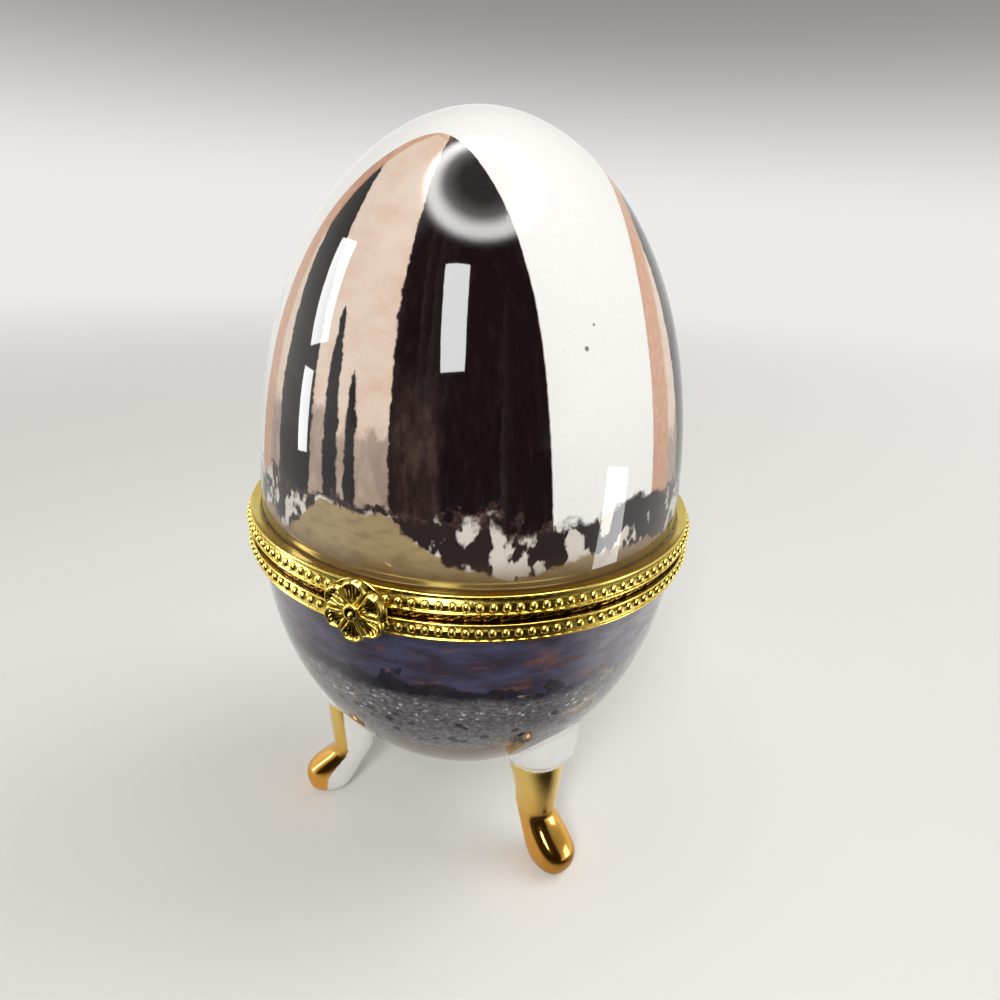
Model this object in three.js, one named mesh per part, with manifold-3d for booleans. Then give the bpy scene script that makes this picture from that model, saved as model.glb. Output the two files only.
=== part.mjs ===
// Egg-shaped trinket box on three legs.
// The porcelain lid and bowl each sit in a beaded collar of gilt brass. The collars are joined
// by a pinned hinge at the back and closed by a flower clasp at the front.
// Millimetres, +Z up. The origin is on the egg's axis at the table, the clasp faces -Y.
import * as THREE from 'three';
import { mergeVertices } from 'three/addons/utils/BufferGeometryUtils.js';
import Module from 'manifold-3d';

const wasm = await Module();
wasm.setup();

// Porcelain. A height here is measured from the joint plane, midway between the two collars.
const JOINT_HEIGHT = 58.8; // table to joint plane
const BOWL_RADIUS = 34.1; // outside, at the joint plane
const BOWL_DEPTH = 46.9; // joint plane to the outside of the bottom
const BOWL_FULLNESS = 2.32; // larger keeps the sides upright for longer
const BOWL_ROUNDNESS = 1.68; // 2 makes a round end, less makes it more pointed
const BOWL_WALL = 2.8;
const LID_STEP = 0.5; // how much smaller the lid is than the bowl, on the radius
const LID_RISE = 59.7; // joint plane to the top of the egg
const LID_FULLNESS = 2.38;
const LID_ROUNDNESS = 1.92;
const LID_WALL = 2.6;

// Collars, stamped from brass sheet
const SHEET = 0.35; // thickness of the brass
const GROOVE = 1.3; // height of the open groove between the two collars
const COLLAR_HEIGHT = 2.7;
const COLLAR_STANDOUT = 1.3; // from the bowl's porcelain out to the collar's face
const COLLAR_FIT = 0.15; // between the porcelain and the edge that each collar turns in to it
const EDGE_FLARE = 0.25; // how far the edge at the groove stands out of the face
const CHANNEL_DEPTH = 0.35; // of the hollow between the beads and the far edge
const BEAD_LINE = 1.2; // from the groove's edge to the middle of the beads
const BEAD_STANDOFF = 0.6; // how far the bead tips stand out of the face
const BEAD_SIZE = 1; // height of a bead
const BEAD_COUNT = 126; // in each collar
const CEMENT = 0.3; // thickness of the bed under each porcelain rim
const JOIN_GAP = 0.05; // left where a piece is cemented or soldered to another

// Lip band that stands on the bowl's collar and guides the lid
const LIP_WALL = 0.4;
const LIP_RISE = 1.8; // from the bowl's collar to the top of the band
const RUN_GAP = 0.3; // between the lid and whatever it moves past

// Clasp
const SEAT_GAP = 0.15; // between brass pieces that are soldered or riveted together
const PLATE_RADIUS = 4.2;
const PLATE_THICKNESS = 0.45;
const CLASP_RISE = 0.3; // clasp's centre above the joint plane
const FLOWER_RADIUS = 4.5;
const FLOWER_EDGE = 0.55; // thickness at the petals' edges
const FLOWER_RIM = 1.15; // thickness along the petals' raised rims
const FLOWER_DISH = 0.6; // thickness in the hollow of each petal
const RIM_INSET = 0.35; // from a petal's edge in to the crest of its rim
const RIM_WIDTH = 0.55; // of the crest
const RIM_SLOPE = 0.95; // from the crest in to the hollow
const PETAL_COUNT = 6;
const PETAL_RADIUS = 1.8;
const FLOWER_TURN = THREE.MathUtils.degToRad(-3);
const RIVET_RADIUS = 0.65;
const RIVET_FIT = 0.15; // round the rivet's shank
const RIVET_HEAD_RADIUS = 1.2;
const RIVET_HEAD = 1.2; // height of the head over the hollow of the petals
const RIVET_TAIL = 0.35; // thickness of the clenched end behind the plate
const STUD_RADIUS = 0.5;
const STUD_TIP_RADIUS = 0.3;
const STUD_DROP = 2.2; // catch stud's centre below the top of the bowl's collar

// Hinge
const LEAF_WIDTH = 11;
const LEAF_HEIGHT = 1.8;
const LEAF_THICKNESS = 0.45;
const KNUCKLE_RADIUS = 1.2;
const KNUCKLE_GAP = 0.3; // between neighbouring knuckles, and from a leaf to the other's knuckle
const KNUCKLE_COUNT = 3; // odd; the bowl's leaf has the outer ones
const PIN_RADIUS = 0.5;
const PIN_FIT = 0.12; // between the pin and the knuckles
const PIN_HEAD_RADIUS = 0.85;
const PIN_HEAD = 0.4;

// Legs. A height is measured from the table, and an inset from the bowl's widest radius inwards.
const LEG_COUNT = 3;
const LEG_GAP = 0.3; // between a leg and the bowl
const TOE_INSET = 3.7;
const TOE_HEIGHT = 3.2;
const SOLE_ROUND = 1.4; // how far the sole's edge is drawn in
const HEEL_INSET = 11.7;
const FOOT_WIDTH = 7.4;
const ANKLE_HEIGHT = 9.8;
const ANKLE_FRONT_INSET = 9.2;
const ANKLE_BACK_INSET = 16.6;
const ANKLE_WIDTH = 6.1;
const CREASE_RISE = 9.1; // from the ankle to the crease under the knee
const CREASE_INSET = 8.5;
const CREASE_WIDTH = 7.4;
const KNEE_RISE = 4.7; // from the crease to the widest part of the knee
const KNEE_FRONT_INSET = 7.1;
const KNEE_WIDTH = 12.2;
const KNEE_BACK_INSET = 19.6;
const LEG_TOP_WIDTH = 7; // where it is drawn past the bowl's surface
const LEG_OVERRUN = 5; // how far a leg is drawn past the bowl's surface before it is cut back
const LEG_SQUARENESS = 0.82; // of its section: 1 is an ellipse, less is squarer

// Fineness of the facets
const ROUND_SIDES = 64;
const OUTER_STEPS = 12;
const INNER_STEPS = 8;
const LEG_SIDES = 16;
const PETAL_SIDES = 10;
const SMALL_SIDES = 16;
const DOME_STEPS = 4;

// Sizes that follow from the ones above
const halfGroove = GROOVE / 2;
const lidRadius = BOWL_RADIUS - LID_STEP;
const face = BOWL_RADIUS + COLLAR_STANDOUT;
const beadTip = face + BEAD_STANDOFF;
const wallInner = face - SHEET - CHANNEL_DEPTH;
const bowlTurnIn = BOWL_RADIUS + COLLAR_FIT;
const lidTurnIn = lidRadius + COLLAR_FIT;
const flangeInner = BOWL_RADIUS - BOWL_WALL + COLLAR_FIT;
const mouthInner = face + EDGE_FLARE - SHEET;
const lipOuter = mouthInner - RUN_GAP;
const collarTop = halfGroove + COLLAR_HEIGHT;
const beadLine = halfGroove + BEAD_LINE;
const lipTop = LIP_RISE - halfGroove;
const lidFlange = lipTop + RUN_GAP;
const bedDepth = CEMENT + 2 * JOIN_GAP;
const lidRim = lidFlange + SHEET + bedDepth;
const bowlRim = halfGroove + SHEET + bedDepth;
const plateBack = beadTip + SEAT_GAP;
const hingeReach = plateBack + KNUCKLE_RADIUS;
const flowerBack = PLATE_THICKNESS + SEAT_GAP;
const toeReach = BOWL_RADIUS - TOE_INSET;
const heelReach = BOWL_RADIUS - HEEL_INSET;
const ankleFront = BOWL_RADIUS - ANKLE_FRONT_INSET;
const ankleBack = BOWL_RADIUS - ANKLE_BACK_INSET;
const creaseFront = BOWL_RADIUS - CREASE_INSET;
const kneeFront = BOWL_RADIUS - KNEE_FRONT_INSET;
const kneeBack = BOWL_RADIUS - KNEE_BACK_INSET;

const porcelain = { color: 0xf3f1ec, roughness: 0.1, metalness: 0 };
const giltBrass = { color: 0xd8a838, roughness: 0.25, metalness: 1 };
const cement = { color: 0xcfc8b8, roughness: 0.9, metalness: 0 };

// Merges shared vertices and drops the triangles that shrink to nothing, as at a lathe's poles.
function closed(geometry) {
  const bare = geometry.clone();
  bare.deleteAttribute('normal');
  bare.deleteAttribute('uv');
  const merged = mergeVertices(bare);
  const index = merged.index.array;
  const kept = [];
  for (let i = 0; i < index.length; i += 3) {
    const [a, b, c] = [index[i], index[i + 1], index[i + 2]];
    if (a !== b && b !== c && c !== a) {
      kept.push(a, b, c);
    }
  }
  merged.setIndex(kept);
  return merged;
}

function fromArrays(positions, faces) {
  const geometry = new THREE.BufferGeometry();
  geometry.setAttribute('position', new THREE.Float32BufferAttribute(positions, 3));
  geometry.setIndex(faces);
  return geometry;
}

function asSolid(geometry) {
  const body = closed(geometry);
  return new wasm.Manifold(new wasm.Mesh({
    numProp: 3,
    vertProperties: new Float32Array(body.attributes.position.array),
    triVerts: new Uint32Array(body.index.array),
  }));
}

function asGeometry(solid) {
  const mesh = solid.getMesh();
  return fromArrays(Array.from(mesh.vertProperties), Array.from(mesh.triVerts));
}

function named(name, geometry, look) {
  const shaded = geometry.index ? geometry.toNonIndexed() : geometry;
  shaded.computeVertexNormals();
  const mesh = new THREE.Mesh(shaded, new THREE.MeshStandardMaterial(look));
  mesh.name = name;
  return mesh;
}

// Turns an outline of [radius, height] points about +Z. It runs up the outside of the solid.
function turned(outline, sides = ROUND_SIDES) {
  const points = outline.map(([radius, height]) => new THREE.Vector2(radius, height));
  return closed(new THREE.LatheGeometry(points, sides).rotateX(Math.PI / 2));
}

function turnedRing(outline, sides = ROUND_SIDES) {
  return turned([...outline, outline[0]], sides);
}

function eggRadius(height, radius, rise, fullness, roundness) {
  const share = Math.min(1, Math.abs(height) / rise);
  return radius * (1 - share ** fullness) ** (1 / roundness);
}

// Points of an egg's half outline, from a rim at the given height to the pole
function eggOutline(rim, radius, rise, fullness, roundness, steps) {
  const start = Math.asin(rim / rise);
  const points = [];
  for (let i = 0; i < steps; i += 1) {
    const height = rise * Math.sin(start + ((Math.PI / 2 - start) * i) / steps);
    points.push([eggRadius(height, radius, rise, fullness, roundness), height]);
  }
  points.push([0, rise]);
  return points;
}

// A shell between an outer and an inner egg, with a flat rim. It rises from the rim.
function eggShell(rim, radius, rise, fullness, roundness, wall) {
  const outer = eggOutline(rim, radius, rise, fullness, roundness, OUTER_STEPS);
  const inner = eggOutline(rim, radius - wall, rise - wall, fullness, roundness, INNER_STEPS);
  return [...inner.reverse(), ...outer];
}

// The same outline the other way up, still running up the outside
function hungDown(outline) {
  return outline.map(([radius, height]) => [radius, -height]).reverse();
}

// Joins two loops of points round the axis that may have different counts.
function stitch(faces, startA, countA, startB, countB) {
  let a = 0;
  let b = 0;
  while (a < countA || b < countB) {
    const cornerA = startA + (a % countA);
    const cornerB = startB + (b % countB);
    const stepA = b === countB || (a < countA && (a + 1) / countA <= (b + 1) / countB);
    if (stepA) {
      a += 1;
      faces.push(cornerA, startA + (a % countA), cornerB);
    } else {
      b += 1;
      faces.push(cornerA, startB + (b % countB), cornerB);
    }
  }
}

// A closed ring of loops. Each has a count, and a radius and height that may vary with the angle.
// The loops run up the outside of the ring, inwards over its top and down its inside.
function ringOfLoops(loops) {
  const positions = [];
  const faces = [];
  const starts = [];
  for (const loop of loops) {
    starts.push(positions.length / 3);
    for (let i = 0; i < loop.count; i += 1) {
      const angle = (2 * Math.PI * i) / loop.count;
      const radius = loop.radius(angle, i);
      positions.push(radius * Math.cos(angle), radius * Math.sin(angle), loop.height);
    }
  }
  loops.forEach((loop, k) => {
    const next = (k + 1) % loops.length;
    stitch(faces, starts[k], loop.count, starts[next], loops[next].count);
  });
  return fromArrays(positions, faces);
}

function plainLoop([radius, height]) {
  return { count: ROUND_SIDES, radius: () => radius, height };
}

// Outside of a collar, from the groove to its far edge, with a row of beads on its face
function collarFace() {
  const tips = {
    count: 2 * BEAD_COUNT,
    radius: (angle, i) => (i % 2 === 0 ? beadTip : face),
    height: beadLine,
  };
  const afterBeads = beadLine + BEAD_SIZE / 2;
  return [
    plainLoop([face, halfGroove]),
    plainLoop([face + EDGE_FLARE, halfGroove + SHEET]),
    plainLoop([face, beadLine - BEAD_SIZE / 2]),
    tips,
    plainLoop([face, afterBeads]),
    plainLoop([face - CHANNEL_DEPTH, (afterBeads + collarTop) / 2]),
    plainLoop([face, collarTop - SHEET]),
    plainLoop([face - SHEET / 2, collarTop]),
  ];
}

// The lid's collar: its flange carries the rim, and its mouth goes round the lip band.
function lidCollar() {
  const inside = [
    [lidTurnIn, collarTop],
    [lidTurnIn, collarTop - SHEET],
    [wallInner, collarTop - SHEET],
    [wallInner, lidFlange + SHEET],
    [flangeInner, lidFlange + SHEET],
    [flangeInner, lidFlange],
    [mouthInner, lidFlange],
    [mouthInner, halfGroove],
  ];
  return ringOfLoops([...collarFace(), ...inside.map(plainLoop)]);
}

// The bowl's collar hangs over the rim, so its section is the other way up.
function bowlCollar() {
  const inside = [
    [bowlTurnIn, collarTop],
    [bowlTurnIn, collarTop - SHEET],
    [wallInner, collarTop - SHEET],
    [wallInner, halfGroove + SHEET],
    [flangeInner, halfGroove + SHEET],
    [flangeInner, halfGroove],
  ];
  const section = [...collarFace(), ...inside.map(plainLoop)];
  const flipped = section.map((loop) => ({ ...loop, height: -loop.height }));
  return ringOfLoops(flipped.reverse());
}

function lipBand() {
  const bottom = -halfGroove;
  const inner = lipOuter - LIP_WALL;
  return turnedRing([[inner, bottom], [lipOuter, bottom], [lipOuter, lipTop], [inner, lipTop]]);
}

// Cement between a rim and its collar's flange, and up between the porcelain and the wall
function cementOutline(flange, porcelainRadius) {
  const bottom = flange + SHEET + JOIN_GAP;
  const top = collarTop - SHEET - JOIN_GAP;
  const beside = porcelainRadius + JOIN_GAP;
  const outside = wallInner - JOIN_GAP;
  return [
    [flangeInner, bottom], [outside, bottom], [outside, top],
    [beside, top], [beside, bottom + CEMENT], [flangeInner, bottom + CEMENT],
  ];
}

function lidCement() {
  const radius = eggRadius(lidRim, lidRadius, LID_RISE, LID_FULLNESS, LID_ROUNDNESS);
  return turnedRing(cementOutline(lidFlange, radius));
}

function bowlCement() {
  return turnedRing(hungDown(cementOutline(halfGroove, BOWL_RADIUS)));
}

// Outline of overlapping round petals
function petalRadius(angle) {
  const pitch = (2 * Math.PI) / PETAL_COUNT;
  const fromAxis = ((angle - FLOWER_TURN) % pitch + pitch) % pitch - pitch / 2;
  const centre = FLOWER_RADIUS - PETAL_RADIUS;
  const across = centre * Math.sin(fromAxis);
  return centre * Math.cos(fromAxis) + Math.sqrt(Math.max(0, PETAL_RADIUS ** 2 - across ** 2));
}

function flower() {
  const hole = RIVET_RADIUS + RIVET_FIT;
  const petalLoop = (inset, height) => ({
    count: PETAL_COUNT * PETAL_SIDES,
    radius: (angle) => petalRadius(angle) - inset,
    height,
  });
  const holeLoop = (height) => ({ count: SMALL_SIDES, radius: () => hole, height });
  const crestEnd = RIM_INSET + RIM_WIDTH;
  return ringOfLoops([
    holeLoop(0), petalLoop(0, 0), petalLoop(0, FLOWER_EDGE), petalLoop(RIM_INSET, FLOWER_RIM),
    petalLoop(crestEnd, FLOWER_RIM), petalLoop(crestEnd + RIM_SLOPE, FLOWER_DISH),
    holeLoop(FLOWER_DISH),
  ]);
}

function claspPlate() {
  const shape = new THREE.Shape();
  shape.absarc(0, 0, PLATE_RADIUS, 0, 2 * Math.PI);
  const hole = new THREE.Path();
  hole.absarc(0, 0, RIVET_RADIUS + RIVET_FIT, 0, 2 * Math.PI, true);
  shape.holes.push(hole);
  const options = { depth: PLATE_THICKNESS, bevelEnabled: false, curveSegments: SMALL_SIDES };
  return closed(new THREE.ExtrudeGeometry(shape, options));
}

// Height 0 is the plate's back.
function claspRivet() {
  const underHead = flowerBack + FLOWER_DISH + SEAT_GAP;
  const headTop = flowerBack + FLOWER_DISH + RIVET_HEAD;
  const tailRadius = RIVET_RADIUS + 2 * RIVET_FIT;
  const dome = [];
  for (let i = 0; i < DOME_STEPS; i += 1) {
    const angle = (Math.PI / 2) * (i / DOME_STEPS);
    const rise = (headTop - underHead) * Math.sin(angle);
    dome.push([RIVET_HEAD_RADIUS * Math.cos(angle), underHead + rise]);
  }
  return turned([
    [0, -SEAT_GAP - RIVET_TAIL], [tailRadius, -SEAT_GAP - RIVET_TAIL], [tailRadius, -SEAT_GAP],
    [RIVET_RADIUS, -SEAT_GAP], [RIVET_RADIUS, underHead], ...dome, [0, headTop],
  ], SMALL_SIDES);
}

// The stud stands on the bowl's collar and ends just short of the plate.
function catchStud() {
  const foot = face + JOIN_GAP;
  const tip = plateBack - RUN_GAP;
  return turned([[0, foot], [STUD_RADIUS, foot], [STUD_TIP_RADIUS, tip], [0, tip]], SMALL_SIDES);
}

function barrel(radius, from, to) {
  const cylinder = new THREE.CylinderGeometry(radius, radius, to - from, SMALL_SIDES);
  return cylinder.rotateZ(Math.PI / 2).translate((from + to) / 2, 0, 0);
}

function block(from, to) {
  const size = to.map((value, i) => value - from[i]);
  const middle = to.map((value, i) => (value + from[i]) / 2);
  return new THREE.BoxGeometry(...size).translate(...middle);
}

function knuckleSpan(index) {
  const pitch = (LEAF_WIDTH + KNUCKLE_GAP) / KNUCKLE_COUNT;
  const from = -LEAF_WIDTH / 2 + index * pitch;
  return [from, from + pitch - KNUCKLE_GAP];
}

// A leaf in the hinge's own frame: the pin runs along X and the collar is on the -Y side.
function hingeLeaf(knuckles) {
  const back = -KNUCKLE_RADIUS;
  const front = back + LEAF_THICKNESS;
  const foot = KNUCKLE_RADIUS + KNUCKLE_GAP;
  const half = LEAF_WIDTH / 2;
  let leaf = asSolid(block([-half, back, foot], [half, front, foot + LEAF_HEIGHT]));
  for (const index of knuckles) {
    const [from, to] = knuckleSpan(index);
    leaf = leaf.add(asSolid(block([from, back, 0], [to, front, foot + LEAF_THICKNESS])));
    leaf = leaf.add(asSolid(barrel(KNUCKLE_RADIUS, from, to)));
  }
  const bore = barrel(PIN_RADIUS + PIN_FIT, -LEAF_WIDTH, LEAF_WIDTH);
  return asGeometry(leaf.subtract(asSolid(bore)));
}

function hingePin() {
  const end = LEAF_WIDTH / 2 + SEAT_GAP;
  const tip = end + PIN_HEAD;
  return turned([
    [0, -tip], [PIN_HEAD_RADIUS, -tip], [PIN_HEAD_RADIUS, -end], [PIN_RADIUS, -end],
    [PIN_RADIUS, end], [PIN_HEAD_RADIUS, end], [PIN_HEAD_RADIUS, tip], [0, tip],
  ], SMALL_SIDES);
}

// How far up the leg the bowl's surface is met at a given reach
function bowlMeetsReach(reach) {
  const share = Math.min(1, (reach / BOWL_RADIUS) ** BOWL_ROUNDNESS);
  return JOINT_HEIGHT - BOWL_DEPTH * (1 - share) ** (1 / BOWL_FULLNESS);
}

function between(from, to, share) {
  return from + (to - from) * share;
}

// Shapes of the run from one section to the next
const swing = (share) => share * share * (3 - 2 * share);
const shoulder = (share) => Math.sin((share * Math.PI) / 2);

function sectionBetween(from, to, share, ease) {
  return {
    height: between(from.height, to.height, share),
    outer: between(from.outer, to.outer, ease(share)),
    inner: between(from.inner, to.inner, share),
    width: between(from.width, to.width, ease(share)),
  };
}

// A level section of the foot. Its edge is drawn in by a quarter round, from 0 at the sole to 1.
function footSection(share) {
  const angle = (share * Math.PI) / 2;
  const height = TOE_HEIGHT * (1 - Math.cos(angle));
  const inset = SOLE_ROUND * (1 - Math.sin(angle));
  const heel = between(heelReach, ankleBack, height / ANKLE_HEIGHT);
  const width = FOOT_WIDTH - 2 * inset;
  return { height, outer: toeReach - inset, inner: heel + inset / 2, width };
}

// Level sections of a leg from the sole to inside the bowl, with their outer and inner reach
function legSections() {
  const toe = footSection(1);
  const ankle = {
    height: ANKLE_HEIGHT, outer: ankleFront, inner: ankleBack, width: ANKLE_WIDTH,
  };
  const knee = {
    height: ANKLE_HEIGHT + CREASE_RISE + KNEE_RISE,
    outer: kneeFront,
    inner: kneeBack,
    width: KNEE_WIDTH,
  };
  const crease = {
    ...sectionBetween(ankle, knee, CREASE_RISE / (CREASE_RISE + KNEE_RISE), swing),
    outer: creaseFront,
    width: CREASE_WIDTH,
  };
  const overrun = Math.max(bowlMeetsReach(kneeFront), knee.height) + LEG_OVERRUN;
  return [
    footSection(0),
    footSection(1 / 2),
    toe,
    sectionBetween(toe, ankle, 1 / 3, swing),
    sectionBetween(toe, ankle, 2 / 3, swing),
    ankle,
    sectionBetween(ankle, crease, 1 / 2, swing),
    crease,
    sectionBetween(crease, knee, 1 / 2, shoulder),
    knee,
    { ...knee, height: overrun, width: LEG_TOP_WIDTH },
  ];
}

// Cosine or sine of an ellipse's angle, pushed out so that its section is squarer
function squarer(value) {
  return Math.sign(value) * Math.abs(value) ** LEG_SQUARENESS;
}

// One leg along +X, as a loft through its sections, cut back to clear the bowl
function leg() {
  const positions = [];
  const faces = [];
  const sections = legSections();
  sections.forEach(({ height, outer, inner, width }, k) => {
    for (let i = 0; i < LEG_SIDES; i += 1) {
      const angle = (2 * Math.PI * i) / LEG_SIDES;
      const x = (outer + inner) / 2 + ((outer - inner) / 2) * squarer(Math.cos(angle));
      positions.push(x, (width / 2) * squarer(Math.sin(angle)), height);
    }
    if (k > 0) {
      stitch(faces, (k - 1) * LEG_SIDES, LEG_SIDES, k * LEG_SIDES, LEG_SIDES);
    }
  });
  const last = (sections.length - 1) * LEG_SIDES;
  for (let i = 1; i < LEG_SIDES - 1; i += 1) {
    faces.push(0, i + 1, i);
    faces.push(last, last + i, last + i + 1);
  }
  const clearance = eggOutline(
    0, BOWL_RADIUS + LEG_GAP, BOWL_DEPTH + LEG_GAP, BOWL_FULLNESS, BOWL_ROUNDNESS, OUTER_STEPS,
  );
  const bowlSpace = turned([...hungDown(clearance), [0, 0]]).translate(0, 0, JOINT_HEIGHT);
  return asGeometry(asSolid(fromArrays(positions, faces)).subtract(asSolid(bowlSpace)));
}

const box = new THREE.Group();

const egg = new THREE.Group();
egg.position.z = JOINT_HEIGHT;
box.add(egg);
const lidOutline = eggShell(lidRim, lidRadius, LID_RISE, LID_FULLNESS, LID_ROUNDNESS, LID_WALL);
const bowlOutline = hungDown(
  eggShell(bowlRim, BOWL_RADIUS, BOWL_DEPTH, BOWL_FULLNESS, BOWL_ROUNDNESS, BOWL_WALL),
);
egg.add(
  named('lid_shell', turned(lidOutline), porcelain),
  named('lid_cement', lidCement(), cement),
  named('lid_collar', lidCollar(), giltBrass),
  named('bowl_shell', turned(bowlOutline), porcelain),
  named('bowl_cement', bowlCement(), cement),
  named('bowl_collar', bowlCollar(), giltBrass),
  named('lip_band', lipBand(), giltBrass),
);

// The clasp is drawn facing +Z and turned to face -Y.
const clasp = new THREE.Group();
clasp.position.set(0, -plateBack, CLASP_RISE);
clasp.rotation.x = Math.PI / 2;
egg.add(clasp);
const flowerMesh = named('clasp_flower', flower(), giltBrass);
flowerMesh.position.z = flowerBack;
clasp.add(
  named('clasp_plate', claspPlate(), giltBrass),
  flowerMesh,
  named('clasp_rivet', claspRivet(), giltBrass),
);

const stud = named('catch_stud', catchStud(), giltBrass);
stud.rotation.x = Math.PI / 2;
stud.position.z = -halfGroove - STUD_DROP;
egg.add(stud);

const hinge = new THREE.Group();
hinge.position.y = hingeReach;
egg.add(hinge);
const knuckles = Array.from({ length: KNUCKLE_COUNT }, (_, i) => i);
const lidLeafShape = hingeLeaf(knuckles.filter((i) => i % 2 === 1));
const lidLeaf = named('hinge_leaf_lid', lidLeafShape, giltBrass);
const bowlLeafShape = hingeLeaf(knuckles.filter((i) => i % 2 === 0));
const bowlLeaf = named('hinge_leaf_bowl', bowlLeafShape, giltBrass);
const pin = named('hinge_pin', hingePin(), giltBrass);
pin.rotation.y = Math.PI / 2;
bowlLeaf.rotation.y = Math.PI;
hinge.add(lidLeaf, bowlLeaf, pin);

const legNames = ['leg_front_left', 'leg_front_right', 'leg_rear'];
const legGeometry = leg();
for (let i = 0; i < LEG_COUNT; i += 1) {
  const mesh = named(legNames[i], legGeometry.clone(), porcelain);
  mesh.rotation.z = -Math.PI / 2 + ((2 * i - 1) * Math.PI) / LEG_COUNT;
  box.add(mesh);
}

export default box;
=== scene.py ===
# Looks of the egg trinket box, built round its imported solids.
# Blender works in metres. Lengths in this script are millimetres, and MM turns them into metres.
# +Z is up along the egg's axis, and the clasp faces -Y.
import math

import bpy
import numpy as np
from mathutils import Matrix, Vector


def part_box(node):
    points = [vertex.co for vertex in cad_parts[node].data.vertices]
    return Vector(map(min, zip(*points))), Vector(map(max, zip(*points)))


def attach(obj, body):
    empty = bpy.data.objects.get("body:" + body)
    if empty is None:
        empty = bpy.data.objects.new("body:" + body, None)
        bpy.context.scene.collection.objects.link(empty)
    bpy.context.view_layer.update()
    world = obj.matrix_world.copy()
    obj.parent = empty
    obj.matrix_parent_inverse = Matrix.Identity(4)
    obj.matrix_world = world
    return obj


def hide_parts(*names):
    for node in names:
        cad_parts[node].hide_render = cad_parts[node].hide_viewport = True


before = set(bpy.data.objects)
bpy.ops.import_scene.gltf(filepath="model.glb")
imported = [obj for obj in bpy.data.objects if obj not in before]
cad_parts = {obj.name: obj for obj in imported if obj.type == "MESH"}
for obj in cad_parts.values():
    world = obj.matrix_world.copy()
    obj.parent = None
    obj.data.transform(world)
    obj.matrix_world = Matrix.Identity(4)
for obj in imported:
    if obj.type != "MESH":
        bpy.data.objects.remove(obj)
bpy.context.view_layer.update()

MM = 0.001


def box_mm(node):
    low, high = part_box(node)
    return low / MM, high / MM


# Places taken from the frame
BOWL_LOW, BOWL_HIGH = box_mm("bowl_shell")
LID_LOW, LID_HIGH = box_mm("lid_shell")
_, BOWL_COLLAR_HIGH = box_mm("bowl_collar")
LID_COLLAR_LOW, LID_COLLAR_HIGH = box_mm("lid_collar")
LIP_LOW, LIP_HIGH = box_mm("lip_band")
PLATE_LOW, PLATE_HIGH = box_mm("clasp_plate")
_, FLOWER_HIGH = box_mm("clasp_flower")
RIVET_LOW, RIVET_HIGH = box_mm("clasp_rivet")
LEAF_LOW, LEAF_HIGH = box_mm("hinge_leaf_lid")
PIN_LOW, PIN_HIGH = box_mm("hinge_pin")
STUD_LOW, STUD_HIGH = box_mm("catch_stud")
JOINT = (BOWL_COLLAR_HIGH.z + LID_COLLAR_LOW.z) / 2
CLASP_MIDDLE = (RIVET_LOW.z + RIVET_HIGH.z) / 2

# Egg
BOWL_RADIUS = 34.1
BOWL_DEPTH = JOINT - BOWL_LOW.z
BOWL_FULLNESS = 2.32
BOWL_ROUNDNESS = 1.68
BOWL_FORM = (BOWL_RADIUS, BOWL_DEPTH, BOWL_FULLNESS, BOWL_ROUNDNESS)
BOWL_WALL = 2.8
LID_RADIUS = 33.6
LID_RISE = LID_HIGH.z - JOINT
LID_FULLNESS = 2.38
LID_ROUNDNESS = 1.92
LID_FORM = (LID_RADIUS, LID_RISE, LID_FULLNESS, LID_ROUNDNESS)
LID_WALL = 2.6
RIM_ROUND = 0.7
EGG_SEGMENTS = 256
EGG_STEPS = 120
INNER_STEPS = 60

# Collars
HALF_GROOVE = LID_COLLAR_LOW.z - JOINT
COLLAR_TOP = LID_COLLAR_HIGH.z - JOINT
BEAD_TIP = LID_COLLAR_HIGH.x
COLLAR_FACE = 35.4
COLLAR_MOUTH = 35.3
COLLAR_WALL = 34.7
SEAT_GAP = 0.15
LID_TURN_IN = LID_RADIUS + SEAT_GAP
BOWL_TURN_IN = BOWL_RADIUS + SEAT_GAP
FLANGE_INNER = 31.45
LID_FLANGE = 1.45
SHEET = 0.35
BEAD_COUNT = 132
BEAD_LINE = 1.85
BEAD_RADIUS = 0.63
BEAD_SIDES = 14
BEAD_RINGS = 9
COLLAR_SEGMENTS = 528
ROLL_RADIUS = 0.17

# Lip band with its embossed sprigs
SPRIG_COUNT = 47
SPRIG_COLUMNS = 30
SPRIG_ROWS = 18
SPRIG_RELIEF = 0.14
LIP_WALL = 0.4

# Clasp
PLATE_RADIUS = 4.2
FLOWER_RADIUS = 4.5
PETAL_COUNT = 6
PETAL_RADIUS = 1.86
PETAL_RIBS = 6
FLOWER_TURN = math.radians(-3)
FLOWER_EDGE = 0.55
FLOWER_RIM = 1.15
FLOWER_DISH = 0.6
FLOWER_HOLE = 0.5
FLOWER_SIDES = PETAL_COUNT * 48
FLOWER_RINGS = 44
RIVET_HEAD_RADIUS = 1.2

# Legs, as in the solids: insets from the bowl's widest radius, heights from the table
LEG_TURNS = {"leg_front_left": -150, "leg_front_right": -30, "leg_rear": 90}
TOE_REACH = BOWL_RADIUS - 3.7
HEEL_REACH = BOWL_RADIUS - 11.7
TOE_HEIGHT = 3.2
SOLE_ROUND = 1.4
FOOT_WIDTH = 7.4
ANKLE_HEIGHT = 9.8
ANKLE_FRONT = BOWL_RADIUS - 9.2
ANKLE_BACK = BOWL_RADIUS - 16.6
ANKLE_WIDTH = 6.1
CREASE_HEIGHT = 18.9
CREASE_FRONT = BOWL_RADIUS - 8.5
CREASE_WIDTH = 7.4
KNEE_HEIGHT = 23.6
KNEE_FRONT = BOWL_RADIUS - 7.1
KNEE_BACK = BOWL_RADIUS - 19.6
KNEE_WIDTH = 12.2
LEG_SQUARENESS = 0.86
LEG_SIDES = 72
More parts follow.
